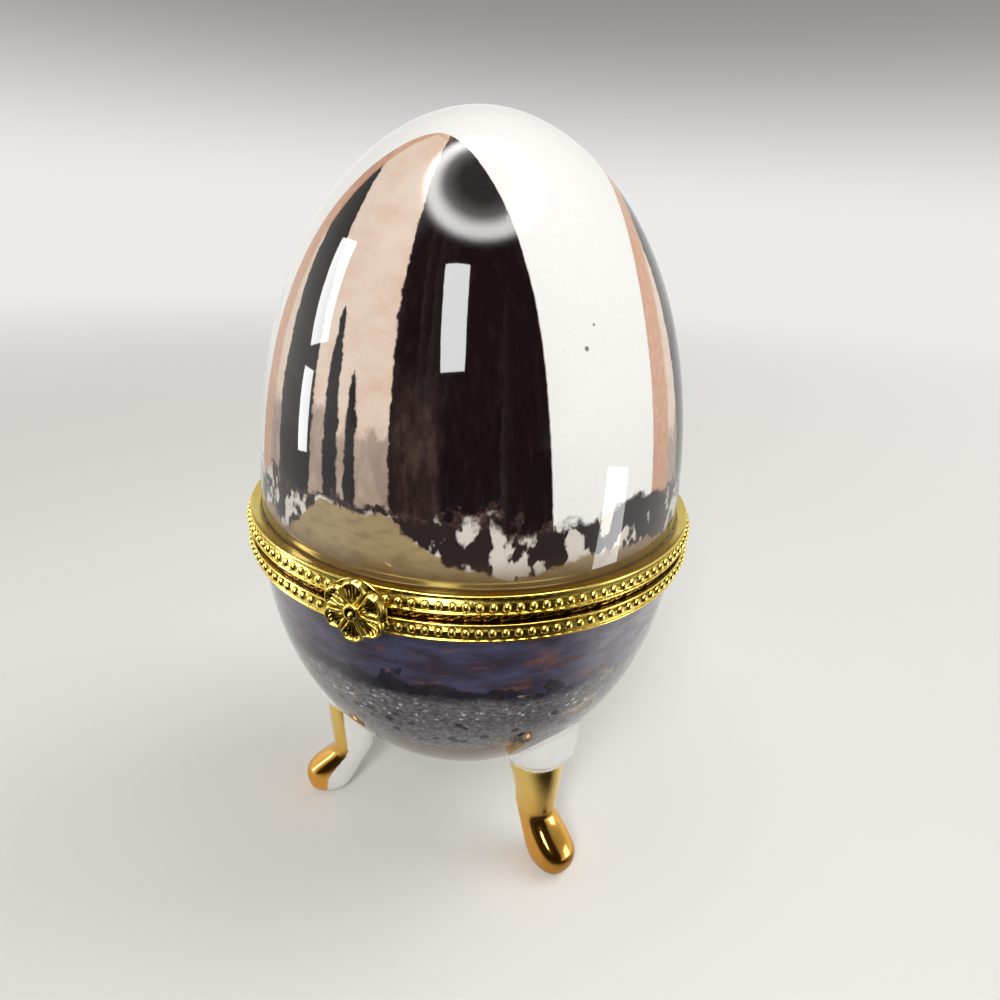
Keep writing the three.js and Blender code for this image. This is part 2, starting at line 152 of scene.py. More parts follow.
CREASE_TILT = 0.35
CREASE_SPREAD = 3.0
KNEE_FLARE = 0.55
FLARE_START = 0.93
SUNK_IN_BOWL = 0.5
SUNK_SHRINK = 0.985
# Where the gilding ends round a leg: the cosine of the turn from the toe, at the sole and at the
# crease
GILT_EDGE = {
    "leg_front_left": (0.05, 0.4),
    "leg_front_right": (-0.85, -0.8),
    "leg_rear": (0.0, 0.2),
}

# Camera, as in the photograph: turned from the clasp towards +X, close and from above
IMAGE_SIZE = 1000
FOCAL_PIXELS = 693
SENSOR = 36
CAMERA_TARGET = Vector((0, 0, JOINT))
TARGET_PIXEL = (471.6, 505.1)
CAMERA_AZIMUTH = math.radians(22.2)
CAMERA_ELEVATION = math.radians(23.7)
CAMERA_DISTANCE = 118.2
CAMERA_ROLL = math.radians(2.0)


def rgb(red, green, blue):
    """A colour given as it shows on a screen, 0 to 255, as the linear colour that shaders take."""
    def linear(value):
        share = value / 255
        return share / 12.92 if share <= 0.04045 else ((share + 0.055) / 1.055) ** 2.4
    return (linear(red), linear(green), linear(blue), 1)


# Fields: numbers that vary over a surface

def connect(tree, value, target):
    if isinstance(value, Field):
        tree.links.new(value.socket, target)
    elif isinstance(value, bpy.types.NodeSocket):
        tree.links.new(value, target)
    else:
        target.default_value = value


def add_node(tree, kind, inputs, **settings):
    """A new shader node. Its inputs are fields, sockets or plain values, by name or by place."""
    node = tree.nodes.new("ShaderNode" + kind)
    for name, value in settings.items():
        setattr(node, name, value)
    for name, value in inputs.items():
        connect(tree, value, node.inputs[name])
    return node


def arithmetic(operation):
    """A method that puts a field, with a second field or number if any, through a maths node."""
    return lambda field, *others: field.maths(operation, *others)


class Field:
    """A number that varies over a surface. Arithmetic on it adds maths nodes to the material."""

    def __init__(self, tree, socket):
        self.tree = tree
        self.socket = socket

    def maths(self, operation, *others):
        inputs = dict(enumerate((self, *others)))
        return Field(self.tree, add_node(self.tree, "Math", inputs, operation=operation).outputs[0])

    __add__ = arithmetic("ADD")
    __sub__ = arithmetic("SUBTRACT")
    __mul__ = arithmetic("MULTIPLY")
    __truediv__ = arithmetic("DIVIDE")
    __pow__ = arithmetic("POWER")
    __abs__ = arithmetic("ABSOLUTE")
    least = arithmetic("MINIMUM")
    most = arithmetic("MAXIMUM")

    def __neg__(self):
        return self * -1

    def step(self, low, high):
        """0 below low, 1 above high, smooth between. Either may be a field."""
        inputs = {"Value": self, "From Min": low, "From Max": high}
        node = add_node(self.tree, "MapRange", inputs, interpolation_type="SMOOTHSTEP")
        return Field(self.tree, node.outputs[0])

    def inverse(self):
        return (self * -1) + 1

    def fall(self, low, high):
        """1 below low, 0 above high, smooth between."""
        return self.step(low, high).inverse()


class Places:
    """Fields over what a node tree colours: a surface's points or a world's directions."""

    def __init__(self, tree, vector):
        self.tree = tree
        split = add_node(tree, "SeparateXYZ", {0: vector})
        self.x, self.y, self.z = [Field(tree, socket) for socket in split.outputs]

    def mixed(self, share, first, second):
        inputs = {0: share, 6: first, 7: second}
        return add_node(self.tree, "Mix", inputs, data_type="RGBA").outputs[2]


class Surface(Places):
    """One material, with the places on it as fields, in millimetres and degrees."""

    def __init__(self, name):
        self.material = bpy.data.materials.new(name)
        self.material.use_nodes = True
        tree = self.material.node_tree
        self.shader = tree.nodes["Principled BSDF"]
        inputs = {0: add_node(tree, "TexCoord", {}).outputs["Object"], "Scale": 1 / MM}
        self.place = add_node(tree, "VectorMath", inputs, operation="SCALE").outputs[0]
        super().__init__(tree, self.place)
        self.height = self.z - JOINT
        self.angle = self.x.maths("ARCTAN2", -self.y) * (180 / math.pi)
        self.reach = (self.x * self.x + self.y * self.y) ** 0.5

    def stretched(self, across, upright):
        inputs = {0: self.place, 1: (across, across, upright)}
        return add_node(self.tree, "VectorMath", inputs, operation="MULTIPLY").outputs[0]

    def noise(self, size, detail=2.0, upright=1.0, roughness=0.5, seed=0.0):
        """Smooth noise from about -1 to 1. Size is its grain in millimetres; upright above 1
        draws it out up and down, and below 1 sideways."""
        inputs = {
            "Vector": self.stretched(1 / size, 1 / (size * upright)),
            "Scale": 1,
            "W": seed,
            "Detail": detail,
            "Roughness": roughness,
        }
        node = add_node(self.tree, "TexNoise", inputs, noise_dimensions="4D")
        return (Field(self.tree, node.outputs[0]) - 0.5) * 3

    def cells(self, size, upright=1.0):
        """Distance to the nearest of scattered points, 0 at a point."""
        inputs = {"Vector": self.stretched(1 / size, 1 / (size * upright)), "Scale": 1}
        return Field(self.tree, add_node(self.tree, "TexVoronoi", inputs).outputs["Distance"])

    def attribute(self, name):
        node = add_node(self.tree, "Attribute", {}, attribute_name=name)
        return Field(self.tree, node.outputs["Fac"])

    def put(self, **values):
        """Sets the shader's sockets, named with underscores for spaces."""
        for name, value in values.items():
            socket = self.shader.inputs[name.replace("_", " ").title().replace("Ior", "IOR")]
            connect(self.tree, value, socket)

    def bump(self, height_mm):
        """Raises the surface by a field, in millimetres."""
        node = add_node(self.tree, "Bump", {"Distance": MM, "Height": height_mm})
        self.tree.links.new(node.outputs[0], self.shader.inputs["Normal"])


class Paint:
    """Colours laid over each other on a surface."""

    def __init__(self, surface, ground):
        self.surface = surface
        self.colour = ground

    def over(self, mask, colour):
        self.colour = self.surface.mixed(mask, self.colour, colour)


# Colours
PORCELAIN = rgb(240, 239, 236)
PORCELAIN_SHADE = rgb(224, 223, 220)
SKY_CREAM = rgb(226, 207, 192)
SKY_PEACH = rgb(214, 178, 152)
EDGE_TAN = rgb(200, 148, 118)
TREE_BLACK = rgb(24, 15, 18)
TREE_BROWN = rgb(52, 38, 37)
TREE_GREY = rgb(78, 70, 70)
HEDGE_BROWN = rgb(104, 84, 74)
HEDGE_LIGHT = rgb(172, 148, 130)
SCRUB_WHITE = rgb(214, 207, 197)
SCRUB_BLACK = rgb(46, 37, 38)
GROUND_TAN = rgb(162, 142, 106)
GROUND_BROWN = rgb(128, 102, 76)
GROUND_DARK = rgb(80, 58, 42)
SPECK = rgb(52, 42, 38)

DUSK_BLUE = rgb(70, 71, 96)
DUSK_PURPLE = rgb(57, 49, 60)
DUSK_PALE = rgb(122, 117, 130)
# Painted reflection on the bowl's sides
DUSK_PAINTED_SHEEN = rgb(180, 176, 184)
DUSK_RUST = rgb(116, 78, 66)
HILL_DARK = rgb(32, 32, 38)
STONE_GREY = rgb(130, 129, 132)
STONE_DARK = rgb(56, 54, 59)
STONE_SPARK = rgb(196, 196, 198)
SHORE_TAN = rgb(170, 150, 118)
FOOT_RUST = rgb(116, 84, 72)

GOLD = rgb(242, 210, 98)
GOLD_PALE = rgb(250, 230, 130)
GOLD_DEEP = rgb(198, 148, 54)
# Painted shade for the hollows of the brass: the collars' coves, the petals and the rivet's dimple
GOLD_PAINTED_SHADE = rgb(50, 34, 8)
# Painted shade for the ground between the lip band's sprigs
BAND_PAINTED_SHADE = rgb(36, 18, 10)
BAND_TARNISH = rgb(120, 82, 34)
# Gilding of the legs, as painted light and shade: paler at the top, deeper orange lower down
LEG_GOLD_LIT = rgb(250, 214, 120)
LEG_GOLD_SHADED = rgb(236, 174, 80)
CEMENT_PALE = rgb(206, 200, 186)
CEMENT_DARK = rgb(176, 168, 152)


# Finish of the glaze and the brass
GLAZE_ROUGHNESS = 0.03
GLAZE_IOR = 1.52
GOLD_ROUGHNESS = 0.16


def glazed(surface):
    """Clear gloss glaze, very slightly uneven."""
    ripple = surface.noise(6.0, detail=1.0) * 0.004 + surface.noise(1.4, detail=1.0) * 0.0006
    surface.bump(ripple)
    surface.put(roughness=GLAZE_ROUGHNESS, IOR=GLAZE_IOR)


def clouded_white(surface):
    cloud = surface.noise(9.0).step(-1.0, 1.5)
    return surface.mixed(cloud, PORCELAIN, PORCELAIN_SHADE)


def plain_porcelain():
    surface = Surface("white_porcelain")
    surface.put(base_color=clouded_white(surface))
    glazed(surface)
    return surface.material


# The lid's print: one panel at the front and a wider one on each side towards the back. Angles
# are in degrees from a panel's middle. A tree is its middle, its half width, and its foot and
# top in millimetres above the joint.
PANEL_MIDDLE = -2
PANEL_HALF = 39
SIDE_PANEL_MIDDLE = 121
SIDE_PANEL_SHRINK = 0.78
PANEL_TOP = 55
BORDER = 6.5
PANEL_SPREAD = 0.05
SPREAD_TOP = 42
TREES = (
    (-22.5, 10, 4, 68),
    (-10, 3.6, 8, 36),
    (-4.5, 2.8, 8, 29),
    (11, 9.5, 2, 66),
    (17, 10, 10, 74),
    (23, 16, 2, 66),
    (36, 11, 2, 53),
)
# Where the bands below the trees end, in millimetres above the joint
FAR_TOP = 23.0
HEDGE_TOP = 13.2
SCRUB_TOP = 12.4
GROUND_TOP = 6.2
MOUND_RISE = 5.5
SHRUB_MIDDLE = 11
# Two specks of grit in the glaze: angle round the lid, height over the joint and size
SPECKS = ((48.4, 32.2, 0.34), (51.1, 34.8, 0.2))


def lid_print():
    """A grove of tall dark trees in cream panels, over a band of dappled scrub and tan ground."""
    surface = Surface("lid_print")
    noise, mixed, height = surface.noise, surface.mixed, surface.height
    ragged = noise(2.6, detail=3.0, roughness=0.65)
    fine = noise(0.8, upright=1.6, seed=3.0)
    broad = noise(11.0, seed=7.0)
    grain = noise(0.28, detail=0.0, seed=9.0)
    spread = (height * -1 + SPREAD_TOP).most(0) * PANEL_SPREAD
    from_front = surface.angle - PANEL_MIDDLE - spread
    side_local = (abs(from_front) - SIDE_PANEL_MIDDLE) * SIDE_PANEL_SHRINK
    is_side = abs(from_front).maths("GREATER_THAN", (PANEL_HALF + 71) / 2)
    local = from_front + (side_local - from_front) * is_side
    panel_share = (height / PANEL_TOP).most(0).least(1) ** 7
    half = panel_share.inverse() ** 0.5 * PANEL_HALF + spread
    inset = half - abs(local)

    paint = Paint(surface, PORCELAIN)
    over = paint.over
    cloud = noise(6.0, detail=4.0, upright=0.7, roughness=0.6, seed=1.0)
    sky = mixed(cloud.step(-0.5, 1.1), SKY_CREAM, SKY_PEACH)
    in_panel = (inset + fine * 0.15).step(0.0, 0.5)
    over(in_panel, sky)

    far = noise(2.0, detail=4.0, upright=2.4, roughness=0.6, seed=15.0)
    far_top = broad * 5.0 + far * 4.5 + FAR_TOP
    over((far_top - height).step(0.0, 3.0) * in_panel * 0.7,
         mixed(far.step(-0.4, 0.9), HEDGE_BROWN, HEDGE_LIGHT))

    bark = noise(1.1, detail=4.0, upright=5.0, roughness=0.6, seed=5.0)
    dark = mixed(bark.step(-0.1, 1.3), TREE_BLACK, TREE_BROWN)
    for middle, width, foot, top in TREES:
        share = ((height - foot) / (top - foot)).most(0).least(1)
        spindle = (share.inverse() ** 0.45) * ((share + 0.16) ** 0.3) * width
        side = local - middle
        edge = spindle - abs(side) + ragged * 0.9 + fine * 0.35
        mask = edge.step(0.0, 0.6) * in_panel * (height - top).fall(-0.4, 0.4)
        lit_side = (side + bark * 2).fall(-width, -width * 0.4) * 0.5
        over(mask, mixed(lit_side, dark, TREE_GREY))

    shrubs = abs(local - SHRUB_MIDDLE + ragged * 1.5).fall(3.0, 6.5)
    shrubs = shrubs * (height + far * 3 + ragged * 2).fall(25.0, 31.0) * in_panel
    shrub_colour = mixed(far.step(-0.3, 0.8), TREE_BROWN, HEDGE_BROWN)
    over(shrubs * bark.step(-0.9, 0.3) * 0.75, shrub_colour)

    hedge_top = broad * 3.0 + ragged * 2.6 + HEDGE_TOP
    leaves = noise(0.9, detail=4.0, roughness=0.7, seed=11.0)
    hedge_colour = mixed(leaves.step(-0.2, 0.9), TREE_BROWN, HEDGE_BROWN)
    hedge_colour = mixed(leaves.step(0.6, 1.1), hedge_colour, HEDGE_LIGHT)
    over((hedge_top - height).step(0.0, 1.0) * in_panel, hedge_colour)

    border = (inset + ragged * 0.4).fall(BORDER - 0.8, BORDER + 0.8) * in_panel
    border = border * local.fall(0.0, 12.0) * (height + ragged * 2).step(8.0, 13.0)
    over(border * 0.92, mixed(fine.step(-0.5, 1.5), EDGE_TAN, SKY_PEACH))

    scrub_top = ragged * 2.0 + broad * 3.0 + SCRUB_TOP
    dapple = noise(2.5, detail=3.0, upright=1.7, seed=13.0) + fine * 0.1
    scrub_colour = mixed(dapple.step(0.06, 0.24), SCRUB_BLACK, SCRUB_WHITE)
    over((scrub_top - height).step(0.0, 1.4), scrub_colour)

    mound = abs(surface.angle + 4).fall(6, 26) * MOUND_RISE
    ground_top = broad * 2.6 + ragged * 1.2 + mound + GROUND_TOP
    soil = noise(3.0, detail=4.0, upright=0.4, seed=17.0)
    ground_colour = mixed(soil.step(-0.3, 1.2), GROUND_TAN, GROUND_BROWN)
    over((ground_top - height).step(0.0, 0.6), ground_colour)
    over((height + ragged * 0.6).fall(3.0, 8.0) * 0.85, GROUND_DARK)

    for angle, up, size in SPECKS:
        across = (surface.angle - angle) * (math.pi / 180) * 28
        distance = (across * across + (height - up) * (height - up)) ** 0.5
        over(distance.fall(size * 0.7, size) * 0.8, SPECK)

    surface.put(base_color=mixed(grain.step(0.2, 1.4) * 0.12, paint.colour, TREE_BROWN))
    glazed(surface)
    return surface.material


# The bowl's print: where its bands end or lie, in millimetres above the joint
HILL_TOP = -12.8
STONY_TOP = -14.0
SHORE_TOP = -13
# Middle height of the painted reflection on the bowl's sides
PAINTED_SHEEN_LINE = -13
SPARK_LINE = -18.5
SPOT_LINE = -22.5
FOOT_TOP = -27.5
BARE_TOP = -36


def bowl_print():
    """A dusk sky with rust clouds over low wooded hills and stony ground, all round the bowl."""
    surface = Surface("bowl_print")
    noise, mixed, height = surface.noise, surface.mixed, surface.height
    ragged = noise(2.2, detail=4.0, roughness=0.65)
    broad = noise(14.0, seed=2.0)
    fine = noise(0.7, detail=3.0, roughness=0.7, seed=14.0)
    grain = noise(0.28, detail=0.0, seed=9.0)
    cloud = noise(7.0, detail=5.0, upright=0.32, roughness=0.6, seed=4.0)
    sky = mixed(cloud.step(-0.5, 0.5), DUSK_PURPLE, DUSK_BLUE)
    sky = mixed(cloud.step(0.35, 1.1) * 0.8, sky, DUSK_PALE)
    glow = noise(6.0, detail=5.0, upright=0.45, roughness=0.6, seed=6.0)
    sky = mixed(glow.step(0.05, 0.6) * 0.85, sky, DUSK_RUST)
    paint = Paint(surface, sky)
    over = paint.over

    crowns = noise(3.6, detail=3.0, upright=1.3, seed=8.0)
    hill_top = broad * 4.2 + crowns.most(0) * 3.8 + ragged * 0.6 + HILL_TOP
    hill_colour = mixed(ragged.step(-0.3, 1.2), HILL_DARK, STONE_DARK)
    over((hill_top - height).step(0.0, 0.7) * 0.9, hill_colour)

    stony = (broad * 1.4 + ragged + STONY_TOP - height).step(0.0, 2.4)
    stones = noise(0.8, detail=4.0, upright=0.6, roughness=0.75, seed=10.0)
    stone_colour = mixed(stones.step(-0.7, 0.7), STONE_DARK, STONE_GREY)
    over(stony, stone_colour)
    shore = noise(11.0, detail=5.0, upright=0.5, roughness=0.65, seed=12.0)
    shore = (shore + ragged * 0.35 + surface.angle.step(30, 60) * 0.35).step(0.42, 0.62)
    over(shore * (height - SHORE_TOP + ragged).fall(-1.5, 1.5) * 0.7, SHORE_TAN)

    # Painted reflection: the print is painted paler on both sides of the bowl, between about 22 and
    # 130 degrees away from 14 degrees round it, and most of all higher up.
    aside = abs(surface.angle - 14) + ragged * 5
    painted_sheen = aside.step(22, 62) * aside.fall(84, 130)
    painted_sheen = painted_sheen * (height - PAINTED_SHEEN_LINE).step(-9, 9) * 0.75 + painted_sheen * 0.15
    over(painted_sheen, mixed(cloud.step(-0.9, 0.5), DUSK_PALE, DUSK_PAINTED_SHEEN))
    spark = surface.cells(1.15, upright=0.8).fall(0.2, 0.36)
    spark_zone = abs(height - SPARK_LINE).fall(1.0, 4.5)
    over(spark * spark_zone * (ragged + fine * 0.6).step(-0.1, 0.3), STONE_SPARK)
    spots = surface.cells(2.3).fall(0.2, 0.36)
    spot_zone = abs(height - SPOT_LINE).fall(2.0, 5.0)
    over(spots * spot_zone * 0.85, HILL_DARK)

    foot = (height - FOOT_TOP + ragged * 0.9).fall(-0.8, 0.8)
    over(foot * 0.85, mixed(glow.step(-0.4, 0.8), FOOT_RUST, STONE_DARK))
    over((height - BARE_TOP + ragged * 0.4).fall(-0.3, 0.3), PORCELAIN_SHADE)
    surface.put(base_color=mixed(grain.step(0.1, 1.3) * 0.18, paint.colour, HILL_DARK))
    glazed(surface)
    return surface.material


def gold(name, painted_shade=0.0, hollow=None):
    """Polished gilt brass. Hollow gives a field, 0 on the high places and 1 in the hollows, where
    painted shade darkens the colour as far as the second argument says.
    """
    surface = Surface(name)
    tone = surface.noise(3.0, detail=3.0).step(-0.8, 1.2)
    base = surface.mixed(tone, GOLD, GOLD_PALE)
    if hollow is not None:
        # Painted shade in the hollows
        base = surface.mixed(hollow(surface) * painted_shade, base, GOLD_PAINTED_SHADE)
    wear = surface.noise(0.9, detail=3.0, seed=5.0)
    surface.put(
        base_color=base,
        metallic=1.0,
        roughness=wear.step(-1.0, 1.4) * 0.12 + GOLD_ROUGHNESS,
    )
    surface.bump(surface.noise(0.35, seed=2.0) * 0.004)
    return surface.material


def collar_painted_shade(surface):
    """Painted shade on a collar: in the coves and between the beads, broken into patches."""
    line = abs(surface.height)
    cove = surface.reach.fall(COLLAR_FACE - 0.34, COLLAR_FACE - 0.1)
    cove = cove * line.fall(COLLAR_TOP - 0.5, COLLAR_TOP - 0.3)
    between = surface.reach.fall(COLLAR_FACE + 0.1, COLLAR_FACE + 0.3)
    between = between * abs(line - BEAD_LINE).fall(0.35, 0.6) * 0.9
    blotch = surface.noise(5.0, seed=8.0).step(-2.4, -0.2)
    return cove.most(between) * blotch


def band_gold():
    """Embossed brass, gilt on the sprigs, with painted shade, nearly black, on the ground between
    them.
    """
    surface = Surface("band_gold")
    crest = surface.reach.step(LIP_HIGH.x - SPRIG_RELIEF * 0.6, LIP_HIGH.x)
    tarnish = surface.noise(2.0, detail=3.0, seed=6.0).step(-1.0, 1.4)
    gilt = surface.mixed(tarnish, GOLD_DEEP, BAND_TARNISH)
    # Painted shade on the ground between the sprigs.
    surface.put(
        base_color=surface.mixed(crest, BAND_PAINTED_SHADE, gilt),
        metallic=1.0,
        roughness=crest.inverse() * 0.25 + 0.18,
    )
    surface.bump(surface.noise(0.3, seed=2.0) * 0.006)
    return surface.material


def flower_painted_shade(surface):
    # Painted shade in the petals' hollows and between them, kept on the flower's points.
    return surface.attribute("hollow")


def rivet_painted_shade(surface):
    # Painted shade in the rivet's dimple, inside its ring and round its small middle bump.
    up = surface.z - CLASP_MIDDLE
    off_axis = (surface.x * surface.x + up * up) ** 0.5
    return off_axis.step(0.2, 0.4) * off_axis.fall(0.78, 0.95)


def gilded_porcelain():
    """White glaze, with gilding brushed over the outer face of the foot, painted paler towards the
    top and deeper orange lower down as painted light and shade.
    """
    surface = Surface("gilded_porcelain")
    strokes = surface.noise(0.45, detail=1.0, upright=0.5, seed=3.0)
    mask = (surface.attribute("gilt") + strokes * 0.28).step(-0.06, 0.06)
    tone = surface.noise(2.4, seed=4.0) * 2.5
    # Painted light and shade: the gilding is paler higher up the leg.
    gilt = surface.mixed((surface.z + tone).step(4, 17), LEG_GOLD_SHADED, LEG_GOLD_LIT)
    surface.put(
        base_color=surface.mixed(mask, clouded_white(surface), gilt),
        metallic=mask,
        roughness=mask * 0.06 + 0.05,
        IOR=GLAZE_IOR,
    )
    surface.bump(surface.noise(4.0) * 0.01)
    return surface.material


def set_cement():
    surface = Surface("set_cement")
    tone = surface.noise(0.8, detail=4.0).step(-1.0, 1.0)
    surface.put(base_color=surface.mixed(tone, CEMENT_PALE, CEMENT_DARK), roughness=0.9)
    surface.bump(surface.noise(0.3, detail=3.0) * 0.03)
    return surface.material


# Meshes

def part_way(start, end, share):
    return start + (end - start) * share


def how_far(value, start, end):
    return (value - start) / (end - start)


# Each piece: the body that it rides on, its material slot and the CAD node that it stands for
PIECES = {
    "lid_porcelain_shell": ("lid", "lid_porcelain", "lid_shell"),
    "bowl_porcelain_shell": ("base", "bowl_porcelain", "bowl_shell"),
    "lid_beaded_collar": ("lid", "collar_gilt", "lid_collar"),
    "bowl_beaded_collar": ("base", "collar_gilt", "bowl_collar"),
    "embossed_lip_band": ("base", "lip_band_gilt", "lip_band"),
    "clasp_pressed_flower": ("lid", "clasp_gilt", "clasp_flower"),
    "clasp_rivet_boss": ("lid", "clasp_gilt", "clasp_rivet"),
    "clasp_back_plate": ("lid", "clasp_gilt", "clasp_plate"),
    "catch_stud_domed": ("base", "clasp_gilt", "catch_stud"),
    "hinge_upper_leaf": ("lid", "hinge_gilt", "hinge_leaf_lid"),
    "hinge_lower_leaf": ("base", "hinge_gilt", "hinge_leaf_bowl"),
    "hinge_headed_pin": ("base", "hinge_gilt", "hinge_pin"),
    "leg_front_left_glazed": ("base", "leg_porcelain", "leg_front_left"),
    "leg_front_right_glazed": ("base", "leg_porcelain", "leg_front_right"),
    "leg_rear_glazed": ("base", "leg_porcelain", "leg_rear"),
}


def piece(name, vertices, faces, *materials, sharp=35, kinds=None):
    """A mesh object from points in millimetres, riding on its body and standing for its node."""
    mesh = bpy.data.meshes.new(name)
    mesh.from_pydata((np.asarray(vertices, float) * MM).tolist(), [], faces)
    for material in materials:
        mesh.materials.append(material)
    if kinds is not None:
        mesh.polygons.foreach_set("material_index", np.asarray(kinds, np.int32))
    mesh.polygons.foreach_set("use_smooth", [True] * len(mesh.polygons))
    mesh.set_sharp_from_angle(angle=math.radians(sharp))
    mesh.update()
    obj = bpy.data.objects.new(name, mesh)
    bpy.context.scene.collection.objects.link(obj)
    body, slot, node = PIECES[name]
    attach(obj, body)
    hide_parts(node)
    return obj


def keep_values(obj, name, values):
    """Keeps a number at each point of a piece, for its material to read."""
    layer = obj.data.attributes.new(name, "FLOAT", "POINT")
    layer.data.foreach_set("value", np.asarray(values, np.float32))


def loops(count, size):
    """Rows of indices for points that were laid down loop after loop."""
    return [range(row * size, (row + 1) * size) for row in range(count)]


def quads(rows, closed=False):
    """Faces that join each loop of points to the next, and the last to the first if closed.
    Where a loop is one point repeated, they are triangles."""
    faces = []
    for low, high in zip(rows, rows[1:] + (rows[:1] if closed else [])):
        for i in range(len(low)):
            j = (i + 1) % len(low)
            faces.append(tuple(dict.fromkeys((low[i], low[j], high[j], high[i]))))
    return faces


def loop_points(reaches, height):
    """Points round Z at a height, with a reach for each."""
    turn = 2 * math.pi / len(reaches)
    return [(reach * math.cos(i * turn), reach * math.sin(i * turn), height)
            for i, reach in enumerate(reaches)]


def revolve(outline, segments, ring=False):
    """Turns (radius, height) points about Z. An open outline starts and ends on the axis, and
    runs up the outside of the solid; a ring's outline closes on itself."""
    vertices = []
    rows = []
    for radius, height in outline:
        start = len(vertices)
        if radius < 1e-6:
            rows.append([start] * segments)
            vertices.append((0, 0, height))
        else:
            rows.append(range(start, start + segments))
            vertices += loop_points([radius] * segments, height)
    return vertices, quads(rows, closed=ring)


def arc(middle, radius, start, end, steps):
    """Points of an arc in the (radius, height) plane, angles in degrees from the outside."""
    angles = np.radians(np.linspace(start, end, steps))
    return [(middle[0] + radius * math.cos(a), middle[1] + radius * math.sin(a)) for a in angles]


def egg_radius(height, radius, rise, fullness, roundness):
    share = min(1.0, abs(height) / rise)
    return radius * (1 - share ** fullness) ** (1 / roundness)


def egg_outline(rim, radius, rise, fullness, roundness, steps):
    start = math.asin(rim / rise)
    points = []
    for i in range(steps):
        height = rise * math.sin(start + (math.pi / 2 - start) * i / steps)
        points.append((egg_radius(height, radius, rise, fullness, roundness), height))
    points.append((0, rise))
    return points


def egg_shell(rim, radius, rise, fullness, roundness, wall):
    """Outline of a shell that rises from its rim: down the inside, round the rim and up."""
    above = rim + RIM_ROUND
    outer = egg_outline(above, radius, rise, fullness, roundness, EGG_STEPS)
    inner = egg_outline(above, radius - wall, rise - wall, fullness, roundness, INNER_STEPS)
    inner_lip = arc((inner[0][0] + RIM_ROUND, above), RIM_ROUND, 180, 270, 6)
    outer_lip = arc((outer[0][0] - RIM_ROUND, above), RIM_ROUND, 270, 360, 6)
    return inner[::-1] + inner_lip[1:] + outer_lip + outer[1:], len(inner) + 4


def make_shell(name, side, rim, form, wall, print_material, plain):
    """A porcelain shell, printed outside. Side is 1 above the joint and -1 below it."""
    outline, inner_rows = egg_shell(rim, *form, wall)
    outline = [(radius, JOINT + side * height) for radius, height in outline][::side]
    vertices, faces = revolve(outline, EGG_SEGMENTS)
    is_inside = [row < inner_rows for row in range(len(outline) - 1)][::side]
    kinds = [int(inside) for inside in is_inside for _ in range(EGG_SEGMENTS)]
    piece(name, vertices, faces, print_material, plain, kinds=kinds)


def lid_collar_face():
    """Outside of the lid's collar from the groove's edge up to the porcelain, heights from the
    joint: a plain face, the ledge that carries the beads, a cove and a rolled top edge."""
    face = COLLAR_FACE
    points = arc((face + 0.07, HALF_GROOVE + ROLL_RADIUS), ROLL_RADIUS, -90, 60, 8)
    points += [(face - 0.02, HALF_GROOVE + 0.42), (face + 0.02, BEAD_LINE - 0.42)]
    points += [(face + 0.12, BEAD_LINE - 0.12), (face + 0.15, BEAD_LINE)]
    points += [(face + 0.12, BEAD_LINE + 0.12), (face - 0.04, BEAD_LINE + 0.38)]
    points += [(face - 0.32, 2.58), (face - 0.4, 2.8), (face - 0.3, 3.0)]
    points += arc((face - 0.16, COLLAR_TOP - ROLL_RADIUS), ROLL_RADIUS, -40, 110, 8)
    points += [(face - 0.45, COLLAR_TOP - 0.1), (face - 1.0, COLLAR_TOP - 0.17)]
    return points


def bowl_collar_face():
    """Outside of the bowl's collar from the groove's edge down: a rolled edge, a cove, the ledge
    with the beads, a plain face and a rolled bottom edge. Heights are below the joint."""
    face = COLLAR_FACE
    points = arc((face + 0.05, HALF_GROOVE + ROLL_RADIUS), ROLL_RADIUS, -90, 50, 8)
    points += [(face - 0.24, HALF_GROOVE + 0.4), (face - 0.34, HALF_GROOVE + 0.55)]
    points += [(face - 0.2, BEAD_LINE - 0.46), (face + 0.12, BEAD_LINE - 0.14)]
    points += [(face + 0.15, BEAD_LINE), (face + 0.12, BEAD_LINE + 0.12)]
    points += [(face, BEAD_LINE + 0.44), (face - 0.07, COLLAR_TOP - 0.55)]
    points += [(face - 0.09, COLLAR_TOP - 2.2 * ROLL_RADIUS)]
    points += arc((face - 0.08, COLLAR_TOP - ROLL_RADIUS), ROLL_RADIUS, -60, 90, 8)
    return points


def smooth_outline(points, per_span=3):
    """A Catmull-Rom curve through the points, with the ends kept."""
    dense = []
    padded = [points[0], *points, points[-1]]
    for k in range(1, len(padded) - 2):
        a, b, c, d = [np.asarray(padded[k + i - 1], float) for i in range(4)]
        for step in range(per_span):
            t = step / per_span
            dense.append(tuple(0.5 * (2 * b + (c - a) * t + (2 * a - 5 * b + 4 * c - d) * t * t
                                      + (3 * b - a - 3 * c + d) * t ** 3)))
    dense.append(tuple(points[-1]))
    return dense


def bead(middle):
    tilts = [math.pi * (ring / BEAD_RINGS - 0.5) for ring in range(BEAD_RINGS + 1)]
    outline = [(BEAD_RADIUS * math.cos(tilt), BEAD_RADIUS * math.sin(tilt)) for tilt in tilts]
    vertices, faces = revolve(outline, BEAD_SIDES)
    return [tuple(np.add(middle, vertex)) for vertex in vertices], faces


def joined(*parts):
    """Vertices and faces of several meshes as one."""
    vertices = []
    faces = []
    for part_vertices, part_faces in parts:
        start = len(vertices)
        vertices.extend(part_vertices)
        faces.extend(tuple(start + index for index in face) for face in part_faces)
    return vertices, faces


